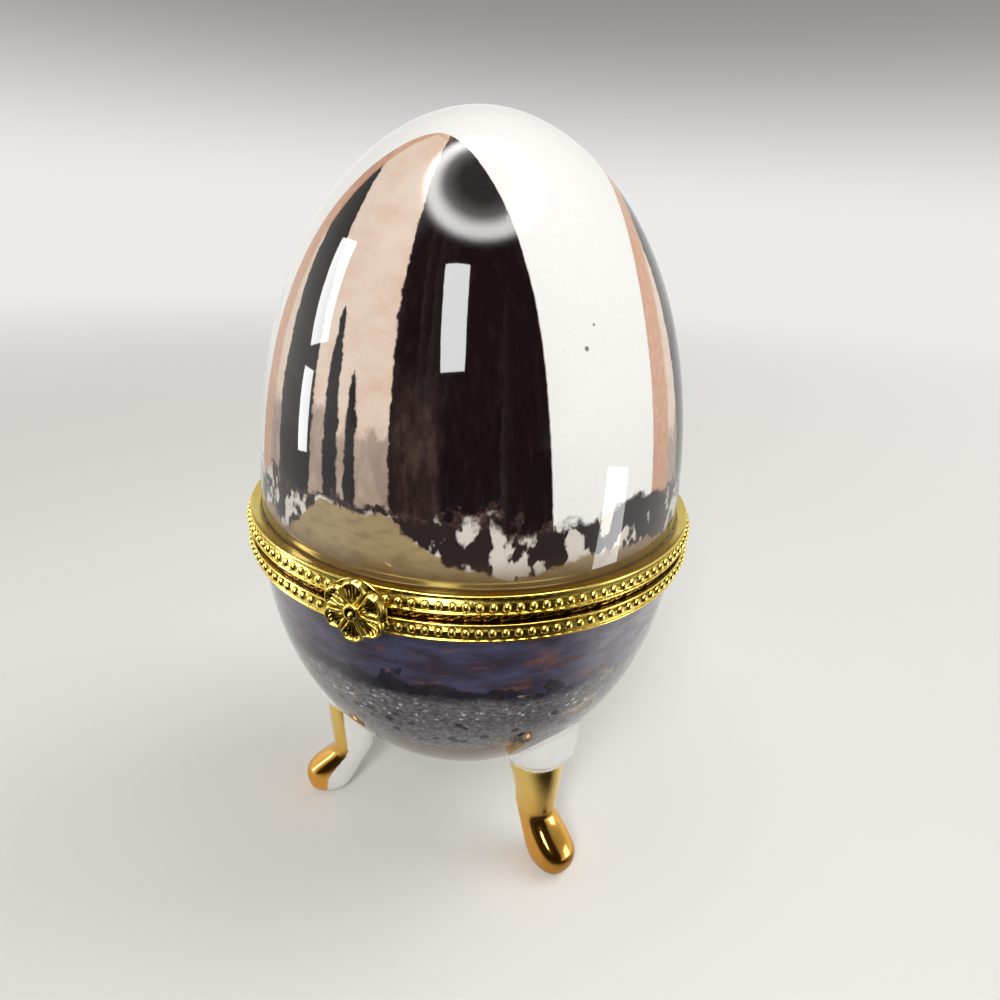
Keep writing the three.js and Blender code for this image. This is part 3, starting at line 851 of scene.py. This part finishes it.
def make_collar(name, face_points, inside, side, material):
    """A stamped collar with its beads. Side is 1 above the joint and -1 below it."""
    section = smooth_outline(face_points) + inside
    if side < 0:
        section = [(radius, -height) for radius, height in section][::-1]
    outline = [(radius, height + JOINT) for radius, height in section]
    parts = [revolve(outline, COLLAR_SEGMENTS, ring=True)]
    reach = BEAD_TIP - BEAD_RADIUS
    for i in range(BEAD_COUNT):
        turn = 2 * math.pi * i / BEAD_COUNT
        middle = (reach * math.cos(turn), reach * math.sin(turn), JOINT + side * BEAD_LINE)
        parts.append(bead(middle))
    vertices, faces = joined(*parts)
    piece(name, vertices, faces, material, sharp=50)


def make_lid_collar(material):
    inside = [
        (LID_TURN_IN + 0.08, COLLAR_TOP - 0.16), (LID_TURN_IN, COLLAR_TOP - 0.22),
        (LID_TURN_IN, COLLAR_TOP - SHEET - 0.1), (COLLAR_WALL, COLLAR_TOP - SHEET - 0.1),
        (COLLAR_WALL, LID_FLANGE + SHEET), (FLANGE_INNER + 0.1, LID_FLANGE + SHEET),
        (FLANGE_INNER, LID_FLANGE + SHEET / 2), (FLANGE_INNER + 0.1, LID_FLANGE),
        (COLLAR_MOUTH - 0.1, LID_FLANGE), (COLLAR_MOUTH, LID_FLANGE - 0.1),
        (COLLAR_MOUTH, HALF_GROOVE + 0.06),
    ]
    make_collar("lid_beaded_collar", lid_collar_face(), inside, 1, material)


def make_bowl_collar(material):
    inside = [
        (BOWL_TURN_IN + 0.08, COLLAR_TOP - 0.02), (BOWL_TURN_IN, COLLAR_TOP - 0.1),
        (BOWL_TURN_IN, COLLAR_TOP - SHEET), (COLLAR_WALL, COLLAR_TOP - SHEET),
        (COLLAR_WALL, HALF_GROOVE + SHEET), (FLANGE_INNER + 0.1, HALF_GROOVE + SHEET),
        (FLANGE_INNER, HALF_GROOVE + SHEET / 2), (FLANGE_INNER + 0.1, HALF_GROOVE),
    ]
    make_collar("bowl_beaded_collar", bowl_collar_face(), inside, -1, material)


# One sprig of the lip band: strokes as (start, end, half width), each point along the band and
# up from the bowl's collar
SPRIG_STROKES = (
    ((0.35, 0.28), (2.1, 0.36), 0.13),
    ((2.1, 0.36), (2.5, 0.5), 0.1),
    ((2.9, 0.36), (3.6, 0.3), 0.12),
    ((1.2, 0.62), (2.4, 0.95), 0.09),
    ((2.7, 0.6), (3.5, 1.0), 0.09),
    ((3.6, 0.5), (4.5, 0.85), 0.09),
    ((0.2, 0.7), (0.9, 1.05), 0.08),
)


def sprig_relief(along, up):
    """Height of the embossing, 0 to 1, at places along and up one sprig."""
    relief = np.zeros_like(along)
    for (x0, y0), (x1, y1), width in SPRIG_STROKES:
        run = np.array([x1 - x0, y1 - y0])
        share = ((along - x0) * run[0] + (up - y0) * run[1]) / (run @ run)
        share = np.clip(share, 0, 1)
        distance = np.hypot(along - x0 - share * run[0], up - y0 - share * run[1])
        taper = width * (1.25 - share)
        relief = np.maximum(relief, np.clip(1 - (distance / (taper + 0.06)) ** 2, 0, 1))
    return relief


def make_lip_band(material):
    outer = LIP_HIGH.x
    low, high = LIP_LOW.z, LIP_HIGH.z
    columns = SPRIG_COUNT * SPRIG_COLUMNS
    pitch = 2 * math.pi * outer / SPRIG_COUNT
    along, up = np.meshgrid(
        np.linspace(0, pitch, SPRIG_COLUMNS, endpoint=False), np.linspace(0, high - low, SPRIG_ROWS)
    )
    relief = sprig_relief(along, up)
    vertices = []
    for row in range(SPRIG_ROWS):
        reaches = np.tile(outer - SPRIG_RELIEF * (1 - relief[row]), SPRIG_COUNT)
        vertices += loop_points(reaches, low + up[row, 0])
    for height in (high, low):
        vertices += loop_points([outer - LIP_WALL] * columns, height)
    faces = quads(loops(SPRIG_ROWS + 2, columns), closed=True)
    piece("embossed_lip_band", vertices, faces, material, sharp=60)


def petal_places(turn, reach):
    """For places on the flower: the outline's reach there, and how far each lies inside its
    own petal's edge."""
    pitch = 2 * math.pi / PETAL_COUNT
    off_axis = np.mod(turn - FLOWER_TURN, pitch) - pitch / 2
    middle = FLOWER_RADIUS - PETAL_RADIUS
    across = middle * np.sin(off_axis)
    outline = middle * np.cos(off_axis) + np.sqrt(np.maximum(0, PETAL_RADIUS ** 2 - across ** 2))
    distance = np.hypot(reach * np.cos(off_axis) - middle, reach * np.sin(off_axis))
    round_edge = np.where(reach * np.cos(off_axis) > middle, PETAL_RADIUS - distance, PETAL_RADIUS)
    side_edge = reach * np.sin(pitch / 2 - np.abs(off_axis))
    return outline, np.minimum(round_edge, side_edge), off_axis


def flower_height(turn, reach):
    """Height of the pressed flower over its back, and the painted shade there, 0 to 1, in the
    petals' hollows and the valleys between them.
    """
    _, inside, off_axis = petal_places(turn, reach)
    rim = np.exp(-((inside - 0.36) / 0.27) ** 2)
    hollow = np.clip((inside - 0.5) / 0.5, 0, 1) * np.clip((reach - 1.0) / 0.7, 0, 1)
    shade = np.clip((inside - 0.45) / 0.2, 0, 1) * np.clip((reach - 1.15) / 0.3, 0, 1)
    rib_turn = 2 * math.pi / PETAL_COUNT / (PETAL_RIBS + 0.6)
    ribs = sum(
        np.exp(-((reach * (off_axis - (k - (PETAL_RIBS - 1) / 2) * rib_turn)) / 0.085) ** 2)
        for k in range(PETAL_RIBS)
    )
    ribs = np.clip(ribs, 0, 1) * np.clip((inside - 0.5) / 0.25, 0, 1)
    crown = np.clip(1.9 - reach, 0, 1) * 0.22
    valley = np.clip(1 - inside / 0.16, 0, 1) * 0.35 * np.clip((reach - 1.3) / 0.6, 0, 1)
    rim_rise = (FLOWER_RIM - FLOWER_DISH - 0.06) * rim * np.clip(reach / 2.4, 0, 1)
    height = FLOWER_DISH + 0.04 + rim_rise
    height = height - 0.16 * hollow + 0.24 * ribs + crown - valley
    edge_round = np.clip(inside / 0.18, 0, 1)
    height = FLOWER_EDGE + (height - FLOWER_EDGE) * np.sqrt(1 - (1 - edge_round) ** 2)
    return height, np.clip(shade * (1 - ribs) + valley * 2, 0, 1)


def make_flower(material):
    turns = 2 * math.pi * np.arange(FLOWER_SIDES) / FLOWER_SIDES
    outline, _, _ = petal_places(turns, np.full(FLOWER_SIDES, 1.0))
    vertices = []
    shades = []

    def add_loop(reach, heights, hollows):
        vertices.extend(zip(reach * np.cos(turns), FLOWER_HIGH.y - heights,
                            CLASP_MIDDLE + reach * np.sin(turns)))
        shades.extend(hollows)

    for share in np.linspace(1, 0, FLOWER_RINGS):
        reach = part_way(FLOWER_HOLE, outline, share)
        add_loop(reach, *flower_height(turns, reach))
    # The flat back and its edge get painted shade of 0.6.
    for share in (0.0, 1.0):
        flat = np.full(FLOWER_SIDES, 0.02 * share)
        add_loop(part_way(FLOWER_HOLE, outline, share), flat, np.full(FLOWER_SIDES, 0.6))
    faces = quads(loops(FLOWER_RINGS + 2, FLOWER_SIDES), closed=True)
    flower = piece("clasp_pressed_flower", vertices, faces, material, sharp=60)
    # The painted shade is kept on the flower's points as its hollow values.
    keep_values(flower, "hollow", shades)


def turned_part(name, outline, segments, low, high, material, ring=False):
    """A turned part of the clasp, drawn along +Z and pointed to -Y from its solid's back."""
    vertices, faces = revolve(outline, segments, ring)
    middle = (low.z + high.z) / 2
    vertices = [(x, high.y - z, middle + y) for x, y, z in vertices]
    piece(name, vertices, faces, material, sharp=50)


def make_rivet(material):
    length = RIVET_HIGH.y - RIVET_LOW.y
    head_back = length - 1.2 + 0.12
    outline = [(0, 0), (0.85, 0), (0.95, 0.12), (0.65, 0.4), (0.65, head_back)]
    ring = arc((RIVET_HEAD_RADIUS - 0.3, head_back + 0.32), 0.3, -70, 150, 14)
    outline += [(RIVET_HEAD_RADIUS - 0.25, head_back), *ring]
    outline += [(0.5, head_back + 0.36), (0.42, head_back + 0.5), (0.26, length - 0.25)]
    outline += [(0.12, length - 0.04), (0, length)]
    turned_part("clasp_rivet_boss", outline, 40, RIVET_LOW, RIVET_HIGH, material)


def make_plate(material):
    thick = PLATE_HIGH.y - PLATE_LOW.y
    soft = 0.12
    hole = 0.82
    outline = [(hole, 0.0), (PLATE_RADIUS - soft, 0.0)]
    outline += arc((PLATE_RADIUS - soft, soft), soft, -60, 0, 4)
    outline += arc((PLATE_RADIUS - soft, thick - soft), soft, 0, 90, 5)
    outline += [(PLATE_RADIUS - 0.5, thick), (PLATE_RADIUS - 0.62, thick - 0.07)]
    outline += [(hole, thick - 0.07)]
    turned_part("clasp_back_plate", outline, 96, PLATE_LOW, PLATE_HIGH, material, ring=True)


def make_stud(material):
    length = STUD_HIGH.y - STUD_LOW.y
    radius = (STUD_HIGH.z - STUD_LOW.z) / 2
    outline = [(0, 0), (radius, 0), (radius * 0.95, length * 0.5)]
    outline += [(radius * 0.7, length * 0.88), (0, length)]
    turned_part("catch_stud_domed", outline, 24, STUD_LOW, STUD_HIGH, material)


# Hinge, seen from behind

KNUCKLE_RADIUS = 1.2
LEAF_THICKNESS = 0.45
KNUCKLE_GAP = 0.3
KNUCKLE_COUNT = 3
PIN_BORE = 0.62
HINGE_REACH = (PIN_LOW.y + PIN_HIGH.y) / 2
HINGE_HEIGHT = (PIN_LOW.z + PIN_HIGH.z) / 2
LEAF_HALF = (LEAF_HIGH.x - LEAF_LOW.x) / 2
LEAF_TOP = LEAF_HIGH.z - HINGE_HEIGHT


def barrel(start, end):
    """A hollow knuckle along X about the hinge's axis, with softened ends."""
    soft = 0.1
    outline = [
        (PIN_BORE, start), (KNUCKLE_RADIUS - soft, start), (KNUCKLE_RADIUS, start + soft),
        (KNUCKLE_RADIUS, end - soft), (KNUCKLE_RADIUS - soft, end), (PIN_BORE, end),
    ]
    vertices, faces = revolve(outline, 40, ring=True)
    return [(z, x, y) for x, y, z in vertices], faces


def slab(low, high):
    """A box with softened edges all round its outer face, towards +Y."""
    soft = 0.1
    x0, y0, z0 = low
    x1, y1, z1 = high
    rings = [(0.0, y0), (0.0, y1 - soft), (soft * 0.4, y1 - soft * 0.3), (soft, y1)]
    vertices = []
    for inset, y in rings:
        vertices += [
            (x0 + inset, y, z0 + inset), (x1 - inset, y, z0 + inset),
            (x1 - inset, y, z1 - inset), (x0 + inset, y, z1 - inset),
        ]
    rows = loops(len(rings), 4)
    faces = [tuple(rows[0])]
    for low_row, high_row in zip(rows, rows[1:]):
        for i in range(4):
            j = (i + 1) % 4
            faces.append((low_row[i], high_row[i], high_row[j], low_row[j]))
    return vertices, [*faces, tuple(rows[-1][::-1])]


def leaf_parts(knuckles):
    """A leaf above the pin, with the given knuckles, about the hinge's axis."""
    back = -KNUCKLE_RADIUS
    front = back + LEAF_THICKNESS
    foot = KNUCKLE_RADIUS + KNUCKLE_GAP
    parts = [slab((-LEAF_HALF, back, foot), (LEAF_HALF, front, LEAF_TOP))]
    border = 0.35
    parts.append(slab((-LEAF_HALF + border, front - 0.05, foot + border),
                      (LEAF_HALF - border, front + 0.08, LEAF_TOP - border)))
    pitch = (2 * LEAF_HALF + KNUCKLE_GAP) / KNUCKLE_COUNT
    for index in knuckles:
        start = -LEAF_HALF + index * pitch
        end = start + pitch - KNUCKLE_GAP
        parts.append(barrel(start, end))
        parts.append(slab((start, back, 0.2), (end, front, foot + 0.2)))
    return parts


def placed_on_hinge(parts, upright):
    vertices, faces = joined(*parts)
    turned = [(x * upright, y + HINGE_REACH, z * upright + HINGE_HEIGHT) for x, y, z in vertices]
    return turned, faces


def make_hinge(material):
    for name, knuckles, upright in (("hinge_upper_leaf", [1], 1), ("hinge_lower_leaf", [0, 2], -1)):
        vertices, faces = placed_on_hinge(leaf_parts(knuckles), upright)
        piece(name, vertices, faces, material)
    end = PIN_HIGH.x
    head = 0.4
    shaft = 0.5
    half = [(0, end), (0.5, end - 0.04), (0.78, end - 0.14), (0.85, end - 0.26),
            (0.85, end - head), (shaft, end - head)]
    outline = [(radius, -height) for radius, height in half] + half[::-1]
    vertices, faces = revolve(outline, 32)
    turned = [(z, x + HINGE_REACH, y + HINGE_HEIGHT) for x, y, z in vertices]
    piece("hinge_headed_pin", turned, faces, material)


# Legs

def bowl_height(reach):
    """Height of the bowl's outside over the table at a reach from the axis."""
    share = min(1.0, (reach / BOWL_RADIUS) ** BOWL_ROUNDNESS)
    return JOINT - BOWL_DEPTH * (1 - share) ** (1 / BOWL_FULLNESS)


def leg_section(height):
    """Front reach, back reach and width of a leg at a height over the table."""
    def swing(share):
        return share * share * (3 - 2 * share)

    heel = part_way(HEEL_REACH, ANKLE_BACK, min(1, height / ANKLE_HEIGHT))
    if height < TOE_HEIGHT:
        tilt = math.acos(1 - height / TOE_HEIGHT)
        inset = SOLE_ROUND * (1 - math.sin(tilt))
        return TOE_REACH - inset, heel + inset / 2, FOOT_WIDTH - 2 * inset
    if height < ANKLE_HEIGHT:
        share = swing(how_far(height, TOE_HEIGHT, ANKLE_HEIGHT))
        front = part_way(TOE_REACH, ANKLE_FRONT, share)
        return front, heel, part_way(FOOT_WIDTH, ANKLE_WIDTH, share)
    back_share = swing(min(1, how_far(height, ANKLE_HEIGHT, KNEE_HEIGHT)))
    back = part_way(ANKLE_BACK, KNEE_BACK, back_share)
    if height < CREASE_HEIGHT:
        share = swing(how_far(height, ANKLE_HEIGHT, CREASE_HEIGHT))
        front = part_way(ANKLE_FRONT, CREASE_FRONT, share)
        return front, back, part_way(ANKLE_WIDTH, CREASE_WIDTH, share)
    share = min(1, how_far(height, CREASE_HEIGHT, KNEE_HEIGHT))
    share = math.sin(share * math.pi / 2)
    front = part_way(CREASE_FRONT, KNEE_FRONT, share)
    return front, back, part_way(CREASE_WIDTH, KNEE_WIDTH, share)


def leg_point(height, turn):
    front, back, width = leg_section(height)
    c, s = math.cos(turn), math.sin(turn)
    c = math.copysign(abs(c) ** LEG_SQUARENESS, c)
    s = math.copysign(abs(s) ** LEG_SQUARENESS, s)
    return (front + back) / 2 + (front - back) / 2 * c, width / 2 * s


def meeting_height(turn):
    """How high a side of the leg runs before it meets the bowl."""
    low, high = 10.0, JOINT
    for _ in range(40):
        middle = (low + high) / 2
        x, y = leg_point(middle, turn)
        if middle < bowl_height(math.hypot(x, y)):
            low = middle
        else:
            high = middle
    return low


def make_leg(name, degrees, material):
    sole_edge, crease_edge = GILT_EDGE[name]
    turns = [2 * math.pi * i / LEG_SIDES for i in range(LEG_SIDES)]
    lower = [TOE_HEIGHT * (1 - math.cos(a)) for a in np.linspace(0, math.pi / 2, 9)]
    lower += list(np.linspace(TOE_HEIGHT, ANKLE_HEIGHT, 18)[1:])
    meets = [meeting_height(turn) for turn in turns]
    vertices = []
    gilt = []

    def gilt_at(height, turn):
        front, back, _ = leg_section(height)
        edge = part_way(sole_edge, crease_edge, min(1, height / CREASE_HEIGHT))
        side = (math.cos(turn) - edge) * (front - back) / 2
        return min(side, CREASE_HEIGHT - 0.15 - height, height - 0.45)

    def add(x, y, height, turn):
        front, back, _ = leg_section(height)
        near_crease = math.exp(-((height - CREASE_HEIGHT) / CREASE_SPREAD) ** 2)
        lift = CREASE_TILT * (x - (front + back) / 2) * near_crease
        vertices.append((x, y, height + lift))
        gilt.append(gilt_at(height, turn))

    for height in lower:
        for turn in turns:
            add(*leg_point(height, turn), height, turn)
    for share in np.linspace(0, 1, 46)[1:]:
        flare = KNEE_FLARE * max(0, how_far(share, FLARE_START, 1)) ** 2
        for turn, meet in zip(turns, meets):
            height = part_way(ANKLE_HEIGHT, meet, share)
            x, y = leg_point(height, turn)
            front, back, _ = leg_section(height)
            middle = (front + back) / 2
            away = math.hypot(x - middle, y)
            add(x + (x - middle) / away * flare, y + y / away * flare, height, turn)
    vertices += [(x * SUNK_SHRINK, y * SUNK_SHRINK, z + SUNK_IN_BOWL)
                 for x, y, z in vertices[-LEG_SIDES:]]
    gilt += [-1] * LEG_SIDES

    rows = loops(len(vertices) // LEG_SIDES, LEG_SIDES)
    faces = [*quads(rows), tuple(rows[0][::-1]), tuple(rows[-1])]
    spin = Matrix.Rotation(math.radians(degrees), 3, "Z")
    turned = [tuple(spin @ Vector(vertex)) for vertex in vertices]
    leg = piece(f"{name}_glazed", turned, faces, material, sharp=55)
    keep_values(leg, "gilt", gilt)


# Stage

FLOOR_GREY = rgb(226, 225, 222)
FLOOR_SHADED = rgb(52, 47, 43)
BACKDROP_PALE = rgb(236, 235, 233)
BACKDROP_GREY = rgb(146, 143, 140)
DARK_SIDE_BROWN = rgb(58, 46, 38)
WALL_WHITE = rgb(255, 254, 250)
FLOOR_HALF = 12.0
# Directions in the studio: degrees from the clasp towards +X, and degrees up
DARK_SIDE = (12, 22)
OVERHEAD = (25, 86)
VEIL = (-30, 50)


def light_paths(tree):
    """1 for rays that see a surface directly, in a reflection, and in any way at all, through
    glass too."""
    node = add_node(tree, "LightPath", {})
    direct, glossy, through = [
        Field(tree, node.outputs[name])
        for name in ("Is Camera Ray", "Is Glossy Ray", "Is Transmission Ray")
    ]
    return direct, glossy, direct.most(glossy).most(through)


def make_floor():
    """A wide pale floor. Far from the object it passes into the backdrop's colour, and glaze and
    metal mirror it darker on the studio's dark side."""
    mesh = bpy.data.meshes.new("studio_floor")
    corners = ((-1, -1), (1, -1), (1, 1), (-1, 1))
    mesh.from_pydata([(x * FLOOR_HALF, y * FLOOR_HALF, 0) for x, y in corners], [], [(0, 1, 2, 3)])
    floor = bpy.data.objects.new("studio_floor", mesh)
    bpy.context.scene.collection.objects.link(floor)
    surface = Surface("studio_floor")
    _, glossy, seen = light_paths(surface.tree)
    dark_side = abs(surface.angle - 24).fall(38, 72) * surface.reach.step(20, 42)
    shaded = dark_side * glossy
    far = surface.reach.step(150, 800) * seen * shaded.inverse()
    lit = surface.mixed(shaded, FLOOR_GREY, FLOOR_SHADED)
    surface.put(
        base_color=surface.mixed(far, lit, (0, 0, 0, 1)),
        emission_color=BACKDROP_PALE,
        emission_strength=far,
        roughness=0.7,
        specular_ior_level=0.0,
    )
    mesh.materials.append(surface.material)


class Directions(Places):
    def near(self, azimuth, elevation, outer, inner):
        """0 further than outer degrees from a direction, 1 within inner degrees of it."""
        a, e = math.radians(azimuth), math.radians(elevation)
        cosine = (self.x * (math.sin(a) * math.cos(e)) + self.y * (-math.cos(a) * math.cos(e))
                  + self.z * math.sin(e))
        return cosine.step(math.cos(math.radians(outer)), math.cos(math.radians(inner)))


def make_world():
    """A small studio with white walls, a soft ring of light overhead and a dark side at the
    front. Seen directly it is a plain backdrop."""
    world = bpy.data.worlds.new("studio")
    bpy.context.scene.world = world
    world.use_nodes = True
    tree = world.node_tree
    background = tree.nodes["Background"]
    sky = Directions(tree, add_node(tree, "TexCoord", {}).outputs["Generated"])
    direct, glossy, _ = light_paths(tree)

    dark_side = sky.near(*DARK_SIDE, 64, 42)
    overhead = sky.near(*OVERHEAD, 30, 24)
    ring = sky.near(*OVERHEAD, 28, 23) * sky.near(*OVERHEAD, 22.4, 16).inverse()
    skirt = sky.near(*OVERHEAD, 21, 8).inverse() * overhead
    veil = sky.near(*VEIL, 26, 6)
    wall = sky.z.fall(0.05, 0.7) * 0.6 + 0.35
    level = wall * dark_side.inverse() + dark_side * 0.62
    level = level * overhead.inverse() + overhead * 0.35 + skirt * 1.45
    level = level + (ring * 10 + skirt * 1.8 + veil) * glossy
    studio = sky.mixed(dark_side * overhead.inverse(), WALL_WHITE, DARK_SIDE_BROWN)

    backdrop = sky.mixed(sky.z.step(-0.01, 0.24), BACKDROP_PALE, BACKDROP_GREY)
    tree.links.new(sky.mixed(direct, studio, backdrop), background.inputs["Color"])
    tree.links.new((level + (level * -1 + 1) * direct).socket, background.inputs["Strength"])


# Lamps: place and aim in metres, width and height in metres, radiance, turn about the lamp's
# own axis in degrees, and what it lights. The narrow ones stand for windows that only show as
# reflections in the glaze, and the wide one is never seen in it.
LAMPS = {
    "front_window": ((0.0547, -0.367, 0.3359), (0.0081, -0.0269, 0.094), 0.0955, 0.2509, 16, 6.3,
                     "all"),
    "left_window_high": ((-0.2792, -0.0941, 0.2058), (-0.0086, -0.026, 0.0957), 0.068, 0.1408, 12,
                         23.5, "gloss"),
    "left_window_low": ((-0.2593, -0.1054, 0.0678), (-0.0108, -0.0299, 0.081), 0.0343, 0.0793, 12,
                        6.1, "gloss"),
    "right_low": ((0.1278, -0.0037, 0.0351), (0.0271, -0.0189, 0.069), 0.03, 0.052, 6, -8,
                  "gloss"),
    "right_softbox": ((0.42, 0.33, 0.62), (0.0, 0.0, 0.08), 0.5, 0.5, 3.2, 0, "matt"),
}


def add_lamp(name, place, aim, width, height, radiance, turn, lit):
    light = bpy.data.lights.new(name, "AREA")
    light.shape = "RECTANGLE"
    light.size = width
    light.size_y = height
    light.energy = radiance * math.pi * width * height
    lamp = bpy.data.objects.new(name, light)
    bpy.context.scene.collection.objects.link(lamp)
    aiming = (Vector(aim) - Vector(place)).to_track_quat("-Z", "Y").to_matrix()
    spin = Matrix.Rotation(math.radians(turn), 3, "Z")
    lamp.matrix_world = Matrix.Translation(place) @ (aiming @ spin).to_4x4()
    lamp.visible_camera = False
    lamp.visible_diffuse = lit != "gloss"
    lamp.visible_glossy = lit != "matt"


def make_camera():
    right = Vector((math.cos(CAMERA_AZIMUTH), math.sin(CAMERA_AZIMUTH), 0))
    back = Vector((
        math.sin(CAMERA_AZIMUTH) * math.cos(CAMERA_ELEVATION),
        -math.cos(CAMERA_AZIMUTH) * math.cos(CAMERA_ELEVATION),
        math.sin(CAMERA_ELEVATION),
    ))
    forward = -back
    view = Matrix((right, right.cross(forward), forward))
    c, s = math.cos(CAMERA_ROLL), math.sin(CAMERA_ROLL)
    roll = Matrix(((c, s, 0), (-s, c, 0), (0, 0, 1)))
    middle = IMAGE_SIZE / 2
    ray = Vector(((TARGET_PIXEL[0] - middle) / FOCAL_PIXELS,
                  (middle - TARGET_PIXEL[1]) / FOCAL_PIXELS, 1))
    swing = Vector((0, 0, 1)).rotation_difference(ray).to_matrix()
    rows = swing @ roll @ view
    turn = Matrix((rows[0], rows[1], -rows[2])).transposed()
    camera_data = bpy.data.cameras.new("camera")
    camera_data.sensor_width = SENSOR
    camera_data.lens = FOCAL_PIXELS / IMAGE_SIZE * SENSOR
    camera_data.clip_start = 0.005
    camera = bpy.data.objects.new("camera", camera_data)
    bpy.context.scene.collection.objects.link(camera)
    place = (CAMERA_TARGET + back * CAMERA_DISTANCE) * MM
    camera.matrix_world = Matrix.Translation(place) @ turn.to_4x4()
    bpy.context.scene.camera = camera


white = plain_porcelain()
make_shell("lid_porcelain_shell", 1, LID_LOW.z - JOINT, LID_FORM, LID_WALL, lid_print(), white)
make_shell("bowl_porcelain_shell", -1, JOINT - BOWL_HIGH.z, BOWL_FORM, BOWL_WALL, bowl_print(),
           white)
# The collars get painted shade in their coves and between their beads.
collar_gold = gold("collar_gold", painted_shade=0.75, hollow=collar_painted_shade)
make_lid_collar(collar_gold)
make_bowl_collar(collar_gold)
make_lip_band(band_gold())
clasp_gold = gold("clasp_gold")
make_flower(gold("flower_gold", painted_shade=0.97, hollow=flower_painted_shade))
make_rivet(gold("rivet_gold", painted_shade=0.95, hollow=rivet_painted_shade))
make_plate(clasp_gold)
make_stud(clasp_gold)
make_hinge(clasp_gold)
leg_finish = gilded_porcelain()
for leg_name, leg_degrees in LEG_TURNS.items():
    make_leg(leg_name, leg_degrees, leg_finish)
cement_finish = set_cement()
for node in ("lid_cement", "bowl_cement"):
    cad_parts[node].data.materials.clear()
    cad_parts[node].data.materials.append(cement_finish)

make_floor()
make_world()
make_camera()
for lamp_name, lamp_values in LAMPS.items():
    add_lamp(lamp_name, *lamp_values)

bpy.context.scene.view_settings.view_transform = "Standard"
